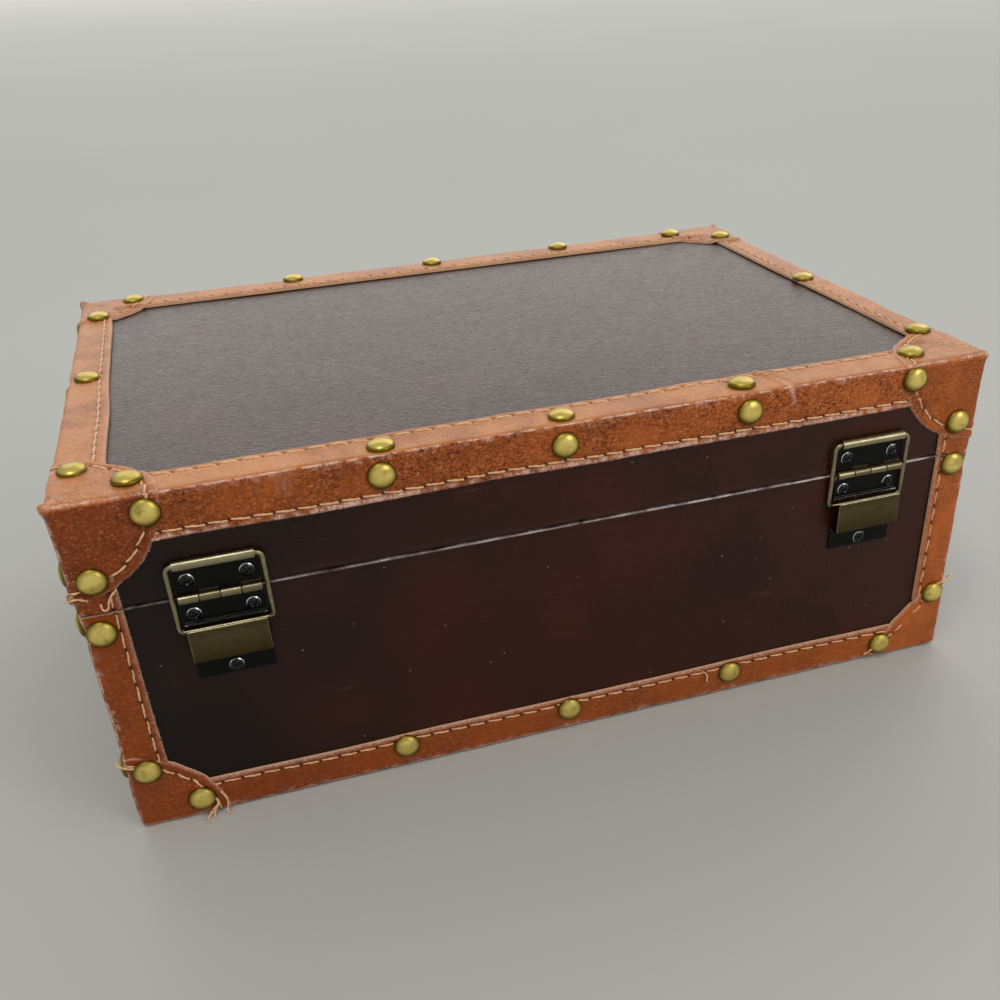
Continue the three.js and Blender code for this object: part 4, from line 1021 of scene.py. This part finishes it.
def loose_ends():
    """The free ends that the saddler left on the photographed wall: each a row of places, as
    x along the wall, out from it, and height."""
    loose_thread("base_cap_rear_right_loose_thread", "base", [
        [(138.9, -1.0, 7.4), (137.6, -0.2, 6.6), (137.0, 0, 5.2), (138.0, 0.2, 3.6), (139.6, 0.3, 2.2),
         (140.9, 1.2, 0.8), (141.9, 2.6, 0.45), (141.2, 4.2, 0.45)],
        [(137.4, -0.6, 6.4), (136.8, 0, 4.6), (138.6, 0.4, 2.4), (139.4, 1.2, 1.0), (139.0, 2.4, 0.45)],
        [(135.6, -1.0, 8.8), (134.5, -0.1, 7.6), (133.9, 0, 5.6), (133.8, 0.2, 3.4), (134.6, 0.8, 1.4),
         (134.2, 2.0, 0.45)],
        [(167.2, -2.6, 30.8), (166.4, -0.6, 30.2), (164.6, 0, 29.2), (162.6, 0, 28.2), (161.2, -0.8, 27.6)]])
    loose_thread("lid_cap_rear_right_loose_thread", "lid", [
        [(166.6, -2.2, 96.2), (165.4, -0.4, 97.2), (163.8, 0, 97.9), (162.0, 0, 97.7), (160.4, -0.2, 96.9),
         (159.8, -1.2, 96.0)],
        [(156.4, -1.0, 94.2), (156.2, -0.1, 92.6), (155.2, 0, 91.8), (154.2, 0.1, 92.9), (153.8, 0.1, 94.6),
         (153.0, 0, 96.4), (151.8, -0.4, 97.6), (150.6, -1.2, 98.2)]])
    loose_thread("base_cap_rear_left_loose_thread", "base", [
        [(-158.6, -0.8, 30.6), (-160.4, 0, 31.6), (-162.4, 0.1, 31.9), (-164.4, 0, 32.9),
         (-166.2, -0.4, 33.9), (-167.0, -1.8, 33.0), (-166.6, -3.2, 31.6)],
        [(-134.2, -0.8, 6.8), (-133.2, 0, 5.6), (-131.8, 0.2, 4.9), (-130.8, 0, 3.7), (-129.2, -0.2, 3.5)],
        [(-55.4, -1.7, 12.5), (-56.3, -0.8, 11.9), (-57.1, -0.6, 10.3), (-56.7, -0.6, 8.7),
         (-57.3, -0.8, 7.4)]])


# Leatherette panels, lining and boards

COVER = 0.8
RIM_ROUND = 0.7
FLANGE_BACK = 9.0
LINING_SHEET = 0.6
LINING_ROUND = 2.2
# Rubbed places on the hinged wall: x, z, how far each spreads along and up, and how much
HANDLED = ((21, 107.4, 18, 2.6, 1.0), (-62, 105, 9, 3, 0.9), (-88, 110, 6, 4, 0.8), (70, 103, 26, 6, 0.6),
           (10, 52, 60, 22, 0.35), (-75, 40, 40, 18, 0.35))


def square_places(*counts):
    """Places round a square from -1 to 1, in so many steps along each of its sides."""
    corners = np.array([(-1, -1), (1, -1), (1, 1), (-1, 1)])
    return np.array([first * (1 - step / count) + second * step / count
                     for first, second, count in zip(corners, np.roll(corners, -1, axis=0), counts)
                     for step in range(count)])


def arc(centre, radius, start, end, steps):
    """Points of an arc in a plane, from one angle to another in degrees."""
    return [(centre[0] + radius * math.cos(math.radians(a)), centre[1] + radius * math.sin(math.radians(a)))
            for a in np.linspace(start, end, steps)]


def wrapped_cover(name, body, far, rim, stands_for, seed):
    """Leatherette glued round four walls and turned over their rim. far is the height of its
    hidden edge, beyond the leather. The profile is (depth behind the face, height)."""
    up = 1 if rim > far else -1
    profile = [(0, height) for height in np.linspace(far, rim - up * 6, 22)]
    profile += [(0, rim - up * below) for below in (4, 2.8, 2, 1.5, 1.1, 0.85, RIM_ROUND)]
    profile += [(RIM_ROUND * (1 - math.cos(a)), rim - up * RIM_ROUND * (1 - math.sin(a)))
                for a in np.radians([20, 40, 60, 80])]
    profile += [(depth, rim) for depth in (2.5, 5, FLANGE_BACK)]
    profile += [(FLANGE_BACK, rim - up * COVER), (COVER, rim - up * COVER), (COVER, far)]
    depth, height = np.array(profile).T
    sections = np.stack([np.column_stack([(PANEL_HALF - depth[:, None]) * spot, height])
                         for spot in square_places(120, 84, 120, 84)])
    flat = sections.reshape(-1, 3)
    bead = 0.3 * hump(flat[:, 2] - rim + up * 0.8, 0.9) * (1 + 0.3 * waves(flat, 12, seed + 1))
    sag = 0.03 * (1 + waves(flat, 38, seed))
    near_rim = hump(flat[:, 2] - rim, 2.0)
    out = np.where(np.abs(flat[:, :2]) > PANEL_HALF - 0.75, np.sign(flat[:, :2]), 0)
    flat[:, :2] += out * (bead - sag)[:, None]
    flat[:, 2] -= up * near_rim * (0.1 + 0.08 * waves(flat, 14, seed + 2))

    x, y, z = flat.T
    hinged = y > PANEL_HALF[1] - 1
    # Painted highlight along the base's rim, with some rub wear, fading towards +X on the hinged wall
    rubbed_and_highlit = hump(z - rim + 0.24, 0.17) * (np.abs(out).max(axis=1) > 0) * (up > 0)
    rubbed_and_highlit *= np.where(hinged, 0.95 - 0.65 * x / PANEL_HALF[0], 0.55)
    rubbed_and_highlit *= np.clip(1.5 + 0.9 * waves(flat, 9, seed + 3) + 0.8 * waves(flat, 3.4, seed + 4), 0.15, 3)
    handled = sum(amount * hump(x - at_x, half_x) * hump(z - at_z, half_z) * (y > 0)
                  for at_x, at_z, half_x, half_z, amount in HANDLED)
    # Painted shade: the hinged wall darkened towards +X
    from_middle = x / PANEL_HALF[0] + 0.12 * waves(flat, 60, seed + 5)
    painted_shade = 0.85 * np.clip((from_middle - 0.3) / 0.5, 0, 1) * hinged
    make_piece(name, body, [ring_tube(sections)], LEATHERETTE, stands_for=stands_for,
               marks={"wear_and_highlight": rubbed_and_highlit, "handled": handled, "painted_shade": painted_shade}, crisp=50)


def top_panel():
    """The lid's top sheet, glued down and not quite flat."""
    low, high = node_box("lid_top_cover")
    rows, columns = 110, 76
    x, y = (g.ravel() for g in np.meshgrid(
        np.linspace(low[0], high[0], rows), np.linspace(low[1], high[1], columns), indexing="ij"))
    top = np.column_stack([x, y, np.full_like(x, high[2] - 0.12)])
    top[:, 2] += 0.09 * waves(top, 55, 71) + 0.02 * waves(top, 12, 72)
    under = np.column_stack([x, y, np.full_like(x, low[2] + 0.05)])
    quads = grid_faces(rows, columns)
    points, faces = gather([(top, quads), (under, quads)])
    index = np.arange(rows * columns).reshape(rows, columns)
    rim = np.concatenate([index[:, 0], index[-1, 1:], index[-2::-1, -1], index[0, -2:0:-1]])
    beside = np.roll(rim, -1)
    faces += np.stack([rim, beside, beside + index.size, rim + index.size], axis=1).tolist()
    make_piece("lid_top_panel", "lid", [(points, faces)], LEATHERETTE, stands_for="lid_top_cover", crisp=50)


def lining_tray(name, node, body, up):
    """Lining glued inside a body: five walls with soft corners, its thickness inside the node's.
    up is 1 if it opens upward and -1 if it opens downward."""
    low, high = node_box(node)
    low += np.array([1, 1, up > 0]) * LINING_SHEET
    high -= np.array([1, 1, up < 0]) * LINING_SHEET
    centre, half = (low + high) / 2, (high - low) / 2
    core = half - LINING_ROUND
    square = square_places(24, 24, 24, 24)
    shells = []
    for depth in (0.0, LINING_SHEET - 0.1):
        rings = []
        for share, level in [(0.03, -1), (0.35, -1), (0.7, -1), *((1, z) for z in np.linspace(-1, 1, 9))]:
            ring = np.column_stack([square * share, np.full(len(square), level)]) * half
            inner = np.clip(ring, -core, core)
            inner[:, 2] = np.maximum(ring[:, 2], -core[2])
            rings.append(inner + unit(ring - inner) * (LINING_ROUND + depth))
        shells.append(rings)
    sections = np.stack(shells[0] + shells[1][::-1])
    sections[..., 2] *= up
    make_piece(name, body, [tube(sections + centre)], LINING, stands_for=node, crisp=50)


# Hinges and latch

SHEET = 0.7
SIDE_LOOP = 0.35
PIN_RADIUS = 0.75
PIN_OUT = 2.0
BARREL_RADIUS = 1.6
KNUCKLE_GAP = 0.3
SCREW_RADIUS = 2.45
SCREW_HEIGHT = 1.3
SCREW_SIDES = 64

# The stay hinge: half widths of its leaves, of its rolled eye and hood, and of its bail, the
# eye's middle, the bail's wire, its corners and its drop, and the floor of the hood's pocket
HALF_LEAF = 13.4
HALF_ROLL = 13
HALF_BAIL = 15.3
WIRE = 0.9
ROLL_UP = 12.4
ROLL_OUT = WIRE + 0.15 + SHEET
BAIL_CORNER = 2.1
BAIL_DROP = 25.4
HOOD_FLOOR = -23.19
HOOD_BEND = 0.8

# The latch: its plates' thickness and corners, and its tongue, slot, screws and staple
LATCH_SHEET = 0.8
LATCH_CORNER = 2.5
HALF_TONGUE = 3.2
SLOT_DROP = 13.1
HALF_SLOT = (1.3, 3.7)
LATCH_SCREW_X = 11.0
STAPLE_RISE = 2.4


class Seat:
    """Where a fitting lies on its wall: x along the wall, out from it, and up from its pin.
    facing is 1 on the hinged wall and -1 on the front."""

    def __init__(self, x, wall, up, facing):
        self.origin = np.array([x, wall, up])
        self.facing = np.array([facing, facing, 1.0])

    def placed(self, *parts):
        """Parts drawn as (along, out, up), moved to their place on the wall."""
        return [(points * self.facing + self.origin, faces) for points, faces in parts]


def bent_sheet(line, thickness, x0, x1):
    """Sheet metal bent along a line of (out, up) points, from x0 to x1 along the pin."""
    line = np.array(line, float)
    out, up = unit(np.gradient(line, axis=0)).T
    aside = np.column_stack([-up, out]) * thickness / 2
    places = (x0, x0 + SIDE_LOOP, x1 - SIDE_LOOP, x1)
    sections = [[(x, *(point + off)) for x in places] + [(x, *(point - off)) for x in places[::-1]]
                for point, off in zip(line, aside)]
    return tube(np.array(sections))


def hinge_pin(half, up, chamfer):
    """A pin along x, its two ends drawn in over a chamfer."""
    line = np.array([(x, PIN_OUT, up) for x in (-half, chamfer - half, 0, half - chamfer, half)])
    radius = PIN_RADIUS * np.array([[0.7], [1], [1], [1], [0.7]])
    return tube(round_sections(line, AXES[2:], -AXES[1:2], radius, 16))


def closed_wire(line, radius):
    """Round wire bent along a closed line of 3-D points."""
    ahead = unit(np.roll(line, -1, axis=0) - np.roll(line, 1, axis=0))
    first = unit(np.cross(ahead, AXES[1]))
    return ring_tube(round_sections(line, first, np.cross(ahead, first), radius, 14))


def screw_head(x, out, up, turn):
    """A round-headed screw with a cross recess: points, faces and how bright each point is marked: painted
    glints on the recess edges and round the rim, with some driver wear.
    """
    angles = np.arange(SCREW_SIDES) * 2 * math.pi / SCREW_SIDES
    crown = SCREW_HEIGHT - 0.3
    ball = (SCREW_RADIUS ** 2 + crown ** 2) / (2 * crown)
    arm, reach, depth = 0.36, 1.45, 0.8
    rings, wear_and_highlight = [], []
    for radius in [*np.linspace(0.08, 2.3, 17), SCREW_RADIUS]:
        across, along = radius * np.cos(angles), radius * np.sin(angles)
        narrow, wide = np.sort(np.abs([across, along]), axis=0)
        cut = np.clip((arm - narrow) / 0.12 + 0.5, 0, 1) * np.clip((reach - wide) / 0.3, 0, 1)
        rings.append((across, SCREW_HEIGHT - ball + math.sqrt(ball ** 2 - radius ** 2) - depth * cut, along))
        # Painted glints along the recess edges and round the rim
        wear_and_highlight.append(1.9 * hump(cut - 0.5, 0.25) + 1.5 * (radius > 2.2))
    for radius in (SCREW_RADIUS, 0.4):
        rings.append((radius * np.cos(angles), angles * 0, radius * np.sin(angles)))
        wear_and_highlight.append(angles * 0)
    across, height, along = np.moveaxis(np.array(rings), 1, 0)
    c, s = math.cos(turn), math.sin(turn)
    spun = np.stack([c * across - s * along, height, s * across + c * along], axis=-1)
    return *tube(spun + np.array([x, out, up])), np.concatenate(wear_and_highlight)


def add_screw(name, body, seat, place, widest_turn, stands_for=None):
    """A screw driven home at a place on its seat, its cross left at a random turn."""
    points, faces, wear_and_highlight = screw_head(*place, rng.uniform(0, widest_turn))
    make_piece(name, body, seat.placed((points, faces)), SCREW_STEEL, stands_for=stands_for,
               marks={"wear_and_highlight": wear_and_highlight}, crisp=30)


def curl(seat_edge, upward, x0, x1):
    """One knuckle: the leaf's edge, joggled and rolled round the pin."""
    line = [(SHEET / 2, seat_edge + 1.2), (SHEET / 2, seat_edge), (SHEET / 2 + 0.15, 1.0)]
    line += arc((PIN_OUT, 0), BARREL_RADIUS - SHEET / 2, 180, 470, 22)
    return bent_sheet(np.array(line) * (1, upward), SHEET, x0, x1)


def face_heights(*parts):
    """How far up the middle of each face is."""
    return np.array([points[face][:, 2].mean() for points, faces in parts for face in faces])


def bail_wire():
    """The bail of a stay: wire bent to a rectangle that leans from the rolled eye to the hood."""
    side, top, foot = HALF_BAIL - BAIL_CORNER, -BAIL_CORNER, BAIL_CORNER - BAIL_DROP
    loop = arc((side, top), BAIL_CORNER, 90, 0, 7) + arc((side, foot), BAIL_CORNER, 0, -90, 7)
    loop += arc((-side, foot), BAIL_CORNER, -90, -180, 7) + arc((-side, top), BAIL_CORNER, -180, -270, 7)
    loop, spaced = np.array(loop), []
    for first, second in zip(loop, np.roll(loop, -1, axis=0)):
        count = max(1, int(math.dist(first, second) / 2))
        spaced += [first + (second - first) * step / count for step in range(count)]
    lean = math.asin((ROLL_OUT - WIRE - 0.15) / BAIL_DROP)
    wire = [(x, ROLL_OUT + t * math.sin(lean), ROLL_UP + t * math.cos(lean)) for x, t in spaced]
    points, faces = closed_wire(np.array(wire), WIRE)
    in_hood = points[:, 2] - ROLL_UP + BAIL_DROP * math.cos(lean) < 0.35
    return points, faces, in_hood


def stay_hinge(side):
    """One stay hinge: two leaves, pin, rolled eye with its wire bail, hood and screws."""
    name = f"{side}_hinge"
    leaf_low, _ = node_box(f"{name}_lower_leaf")
    pin_low, pin_high = node_box(f"{name}_pin")
    hood_low, hood_high = node_box(f"{name}_stay_hood")
    middle, _, pin_up = (pin_low + pin_high) / 2
    wall = leaf_low[1]
    seat = Seat(middle, wall, pin_up, 1)
    half_barrel = (pin_high[0] - pin_low[0]) / 2
    plate_edge = BARREL_RADIUS + KNUCKLE_GAP
    starts = [half_barrel * (k / 2 - 1) + KNUCKLE_GAP / 2 for k in range(4)]
    spans = [(start, start + half_barrel / 2 - KNUCKLE_GAP) for start in starts]

    line = [(SHEET / 2, up) for up in (10.3, 11.2, ROLL_UP)]
    line += arc((ROLL_OUT, ROLL_UP), ROLL_OUT - SHEET / 2, 172, -62, 18)
    eye = bent_sheet(line, SHEET, -HALF_ROLL, HALF_ROLL)
    plate = bent_sheet([(SHEET / 2, up) for up in (plate_edge, 6, 10.4)], SHEET, -HALF_LEAF, HALF_LEAF)
    parts = [plate, eye, *(curl(plate_edge, 1, *spans[k]) for k in (0, 2))]
    bronzed = face_heights(*parts) > ROLL_UP - 3.2
    bronzed[len(plate[1]) + len(eye[1]):] = True
    up = gather(parts)[0][:, 2]
    knuckle = np.arange(len(up)) >= len(plate[0]) + len(eye[0])
    # Painted highlight along the top of the roll and on the knuckles, which are also marked darker
    make_piece(f"{side}_leaf_upper", "lid", seat.placed(*parts), BLACK_STEEL, BRONZE,
               stands_for=f"{name}_upper_leaf", paint=bronzed, ease=0.12,
               marks={"wear_and_highlight": 0.9 * (up > ROLL_UP - 1) + 0.4 * knuckle, "tarnish_and_shade": 0.6 * knuckle})

    leaf_foot = leaf_low[2] - pin_up
    line = [(SHEET / 2, up) for up in (-plate_edge, -5, leaf_foot + 1.3)]
    line += arc((1.15, leaf_foot + 1.15), 0.8, 186, 262, 6) + [(1.7, leaf_foot + 0.36)]
    plate = bent_sheet(line, SHEET, -HALF_LEAF, HALF_LEAF)
    parts = [plate, *(curl(plate_edge, -1, *spans[k]) for k in (1, 3))]
    points, faces = gather(parts)
    # Painted highlight: the lip in brighter screw steel and marked bright along its foot, and the knuckles
    # marked bright
    paint, wear_and_highlight = np.full(len(faces), 1), np.full(len(points), 0.6)
    paint[:len(plate[1])] = 2 * (face_heights(plate) < leaf_foot + 1.2)
    wear_and_highlight[:len(plate[0])] = 1.8 * (plate[0][:, 2] < leaf_foot + 0.6)
    make_piece(f"{side}_leaf_lower", "base", seat.placed(*parts), BLACK_STEEL, BRONZE, SCREW_STEEL,
               stands_for=f"{name}_lower_leaf", paint=paint, marks={"wear_and_highlight": wear_and_highlight}, ease=0.12)

    make_piece(f"{side}_hinge_axle", "base", seat.placed(hinge_pin(half_barrel, 0, 0.25)), BRONZE,
               stands_for=f"{name}_pin")

    front = hood_high[1] - wall - SHEET / 2
    foot, mouth = hood_low[2] - pin_up, hood_high[2] - pin_up
    line = [(SHEET / 2, foot), (SHEET / 2, HOOD_FLOOR - 5)]
    line += arc((SHEET / 2 + HOOD_BEND, HOOD_FLOOR - HOOD_BEND), HOOD_BEND, 180, 90, 6)
    line += arc((front - HOOD_BEND, HOOD_FLOOR + HOOD_BEND), HOOD_BEND, -90, 0, 6)
    line += [(front, up) for up in (-18, -14, mouth - 0.8, mouth - 0.3, mouth)]
    hood = bent_sheet(line, SHEET, -HALF_ROLL, HALF_ROLL)
    x, _, up = hood[0].T
    # Painted highlights along the mouth, the side edges and a band across the front; darker below the mouth
    wear_and_highlight = 1.7 * hump(up - mouth, 0.2) + 0.7 * (np.abs(x) > HALF_ROLL - 0.1) + 0.16 * hump(up + 15, 4.0)
    # The foot below the pocket in black steel: its dark metal, with painted shadow under the hood
    make_piece(f"{side}_hood", "base", seat.placed(hood), BRONZE, BLACK_STEEL, stands_for=f"{name}_stay_hood",
               paint=face_heights(hood) < HOOD_FLOOR - 1.5,
               marks={"wear_and_highlight": wear_and_highlight, "tarnish_and_shade": 0.6 * (up < mouth - 0.2)}, ease=0.14)

    points, faces, in_hood = bail_wire()
    # Painted highlight on the bail outside the hood, and painted shade on the part inside it
    make_piece(f"{side}_stay_bail", f"bail_{side}", seat.placed((points, faces)), BRONZE,
               stands_for=f"{name}_bail", marks={"wear_and_highlight": 0.8 * ~in_hood, "tarnish_and_shade": 1.0 * in_hood})

    for place, body in (("upper_left", "lid"), ("upper_right", "lid"), ("lower_left", "base"),
                        ("lower_right", "base"), ("foot", "base")):
        node = f"{name}_screw_{place}"
        x, _, up = sum(node_box(node)) / 2 - seat.origin
        add_screw(f"{side}_screw_{place}", body, seat, (x, SHEET, up), math.pi / 2, node)


def rounded_outline(half, low, high, radius, steps=6):
    """A rectangle with round corners, half its width either side of the middle, as (x, up) points."""
    outline = []
    for x, up, start in ((half - radius, high - radius, 0), (radius - half, high - radius, 90),
                         (radius - half, low + radius, 180), (half - radius, low + radius, 270)):
        outline += arc((x, up), radius, start, start + 90, steps)
    return outline


def plate_loops(*loops):
    """Outlines of (x, up) points, each at its own distance off the wall."""
    return np.array([[(x, out, up) for x, up in outline] for outline, out in loops])


def rolled_tab(line, first, last, pivot, x0, x1):
    """A tab of the latch's sheet, rolled round its pin from one angle to another."""
    line = line + arc((PIN_OUT, 0), BARREL_RADIUS - LATCH_SHEET / 2, first, last, 22)
    return bent_sheet(np.array(line) + (0, pivot), LATCH_SHEET, x0, x1)


def screw_pair(plate, body, seat, up):
    """The two screws of one of the latch's plates."""
    for side, x in (("left", -LATCH_SCREW_X), ("right", LATCH_SCREW_X)):
        add_screw(f"{plate}_screw_{side}", body, seat, (x, LATCH_SHEET, up), 1.5)


def hasp_latch():
    """The front latch: a plate with the hasp's pin on the lid, and a staple on the base."""
    plate_low, plate_high = node_box("latch_plate")
    hasp_low, hasp_high = node_box("latch_hasp")
    staple_low, staple_high = node_box("latch_staple")
    seam = (BASE_RIM + LID_RIM) / 2
    wall = -(PANEL_HALF[1] + 0.1)
    seat = Seat(0, wall, seam, -1)
    pivot = sum(node_box("latch_pin"))[2] / 2 - seam
    half_hasp = (hasp_high[0] - hasp_low[0]) / 2
    half_plate = (plate_high[0] - plate_low[0]) / 2
    foot, top = max(plate_low[2] - seam, 3.0), plate_high[2] - seam
    notch, notch_up = HALF_TONGUE + KNUCKLE_GAP, pivot + 1.9
    sheet_middle = LATCH_SHEET / 2

    outline = rounded_outline(half_plate, foot, top, LATCH_CORNER)
    outline[18:18] = [(-notch, foot), (-notch, notch_up), (notch, notch_up), (notch, foot)]
    parts = [tube(plate_loops((outline, 0), (outline, LATCH_SHEET)))]
    parts += [rolled_tab([(sheet_middle, 3), (sheet_middle, 1.6)], 180, 470, pivot, x0, x1)
              for x0, x1 in ((-half_hasp, -notch), (notch, half_hasp))]
    make_piece("hasp_backplate", "lid", seat.placed(*parts), BRONZE, stands_for="latch_plate", ease=0.14)
    screw_pair("hasp_backplate", "lid", seat, (foot + top) / 2)

    make_piece("hasp_pin", "lid", seat.placed(hinge_pin(half_hasp, pivot, 0.3)), BRONZE,
               stands_for="latch_pin")

    outer = rounded_outline(half_hasp, notch_up, hasp_high[2] - seam, LATCH_CORNER, 8)
    slot_up, (half_wide, half_high) = pivot + SLOT_DROP, HALF_SLOT
    hole = rounded_outline(half_wide, slot_up - half_high, slot_up + half_high, 1.0, 8)
    back, face = PIN_OUT - sheet_middle, PIN_OUT + sheet_middle
    plate = ring_tube(plate_loops((outer, back), (outer, face), (hole, face), (hole, back)))
    tongue = rolled_tab([(PIN_OUT, 5), (PIN_OUT, 2.6), (PIN_OUT - 0.5, 1.7)], 140, 430, pivot,
                        -HALF_TONGUE, HALF_TONGUE)
    make_piece("hasp_plate", "hasp", seat.placed(plate, tongue), BRONZE, stands_for="latch_hasp", ease=0.14)

    low, high = staple_low[2] - seam, staple_high[2] - seam
    middle = (low + high) / 2
    outline = rounded_outline(half_plate, low, high, LATCH_CORNER)
    plate = tube(plate_loops((outline, 0), (outline, LATCH_SHEET)))
    crown = wall - staple_low[1] - 0.8 - STAPLE_RISE
    hoop = [(0.2, -STAPLE_RISE), (1.5, -STAPLE_RISE), *arc((crown, 0), STAPLE_RISE, -90, 90, 14),
            (1.5, STAPLE_RISE), (0.2, STAPLE_RISE)]
    hoop = np.array([(0, out, middle + up) for out, up in hoop])
    aside = np.cross(unit(np.gradient(hoop, axis=0)), AXES[0])
    hoop = tube(round_sections(hoop, AXES[:1], aside, 0.8, 14))
    make_piece("staple_plate", "base", seat.placed(plate, hoop), BRONZE, stands_for="latch_staple", ease=0.14)
    screw_pair("staple_plate", "base", seat, middle)


def finish_frame_nodes():
    """Finishes of the frame nodes that show as they are."""
    for name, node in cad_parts.items():
        finish = BOARD if "board" in name or "_wall_" in name else None
        if name == "base_bottom_cover":
            finish = LEATHERETTE
        if finish:
            node.data.materials.clear()
            node.data.materials.append(finish)


# Stage: floor, camera and light

def photo_camera():
    """A hand-held view from behind the trunk's right end, looking down on it."""
    azimuth, elevation, roll = (math.radians(a) for a in (164.53, 31.16, -3.10))
    aim_right, aim_up, distance = 0.0137, 0.0037, 0.5105
    focal_pixels, centre_x, centre_y, picture = 1050, 524.2, 578.5, 1000
    back = Vector((math.sin(azimuth) * math.cos(elevation), -math.cos(azimuth) * math.cos(elevation),
                   math.sin(elevation)))
    level = Vector((0, 0, 1)).cross(back).normalized()
    upright = back.cross(level)
    right = level * math.cos(roll) + upright * math.sin(roll)
    up = upright * math.cos(roll) - level * math.sin(roll)
    data = bpy.data.cameras.new("photo_camera")
    data.sensor_width = 36
    data.lens = focal_pixels / picture * data.sensor_width
    data.shift_x = (0.5 * picture - centre_x) / picture
    data.shift_y = (centre_y - 0.5 * picture) / picture
    data.clip_start = 0.01
    camera = bpy.data.objects.new("photo_camera", data)
    bpy.context.scene.collection.objects.link(camera)
    camera.matrix_world = Matrix((right, up, back)).transposed().to_4x4()
    camera.location = right * aim_right + up * aim_up + back * distance
    bpy.context.scene.camera = camera


def softbox(name, place, aim, width, height, brightness, colour):
    """A soft rectangular light at a place, turned to its aim; a white card at brightness 1 is white."""
    data = bpy.data.lights.new(name, "AREA")
    data.shape = "RECTANGLE"
    data.size = width
    data.size_y = height
    data.energy = brightness * math.pi * width * height
    data.color = linear(colour)[:3]
    lamp = bpy.data.objects.new(name, data)
    bpy.context.scene.collection.objects.link(lamp)
    lamp.visible_camera = False
    lamp.location = place
    lamp.rotation_euler = (Vector(aim) - Vector(place)).to_track_quat("-Z", "Y").to_euler()


def stage():
    """A pale floor, a pale room, a broad window beyond the trunk, and two smaller lights."""
    half = 20
    mesh = bpy.data.meshes.new("floor")
    corners = [(-half, -half, 0), (half, -half, 0), (half, half, 0), (-half, half, 0)]
    mesh.from_pydata(corners, [], [(0, 1, 2, 3)])
    mesh.materials.append(pale_floor())
    floor = bpy.data.objects.new("floor", mesh)
    bpy.context.scene.collection.objects.link(floor)
    floor.location.z = -0.0002
    world = bpy.data.worlds.new("pale_room")
    world.use_nodes = True
    background = world.node_tree.nodes["Background"]
    background.inputs["Color"].default_value = linear("#ccd0cf")
    background.inputs["Strength"].default_value = 0.95
    bpy.context.scene.world = world
    softbox("window_beyond", (-3.7, -12.2, 6.7), (0, 0, 0.13), 21.8, 12.3, 1.5, "#fdf9f2")
    softbox("ceiling_panel", (0.3, 0.5, 1.3), (0, 0, 0.1), 0.36, 0.36, 9, "#fffaf2")
    softbox("lamp_at_the_side", (-0.9, 1.2, 0.95), (0, 0, 0.08), 0.7, 0.7, 3.6, "#fff6ea")
    bpy.context.scene.view_settings.view_transform = "Standard"


photo_camera()
lid_strips()
base_strips()
corners_leather()
loose_ends()
wrapped_cover("base_wrap", "base", BASE_LOW[2], BASE_RIM, "base_side_cover", 61)
wrapped_cover("lid_wrap", "lid", LID_TOP, LID_RIM, "lid_side_cover", 64)
top_panel()
lining_tray("base_lining_tray", "base_lining", "base", 1)
lining_tray("lid_lining_tray", "lid_lining", "lid", -1)
for hinge_side in ("left", "right"):
    stay_hinge(hinge_side)
hasp_latch()
finish_frame_nodes()
stage()
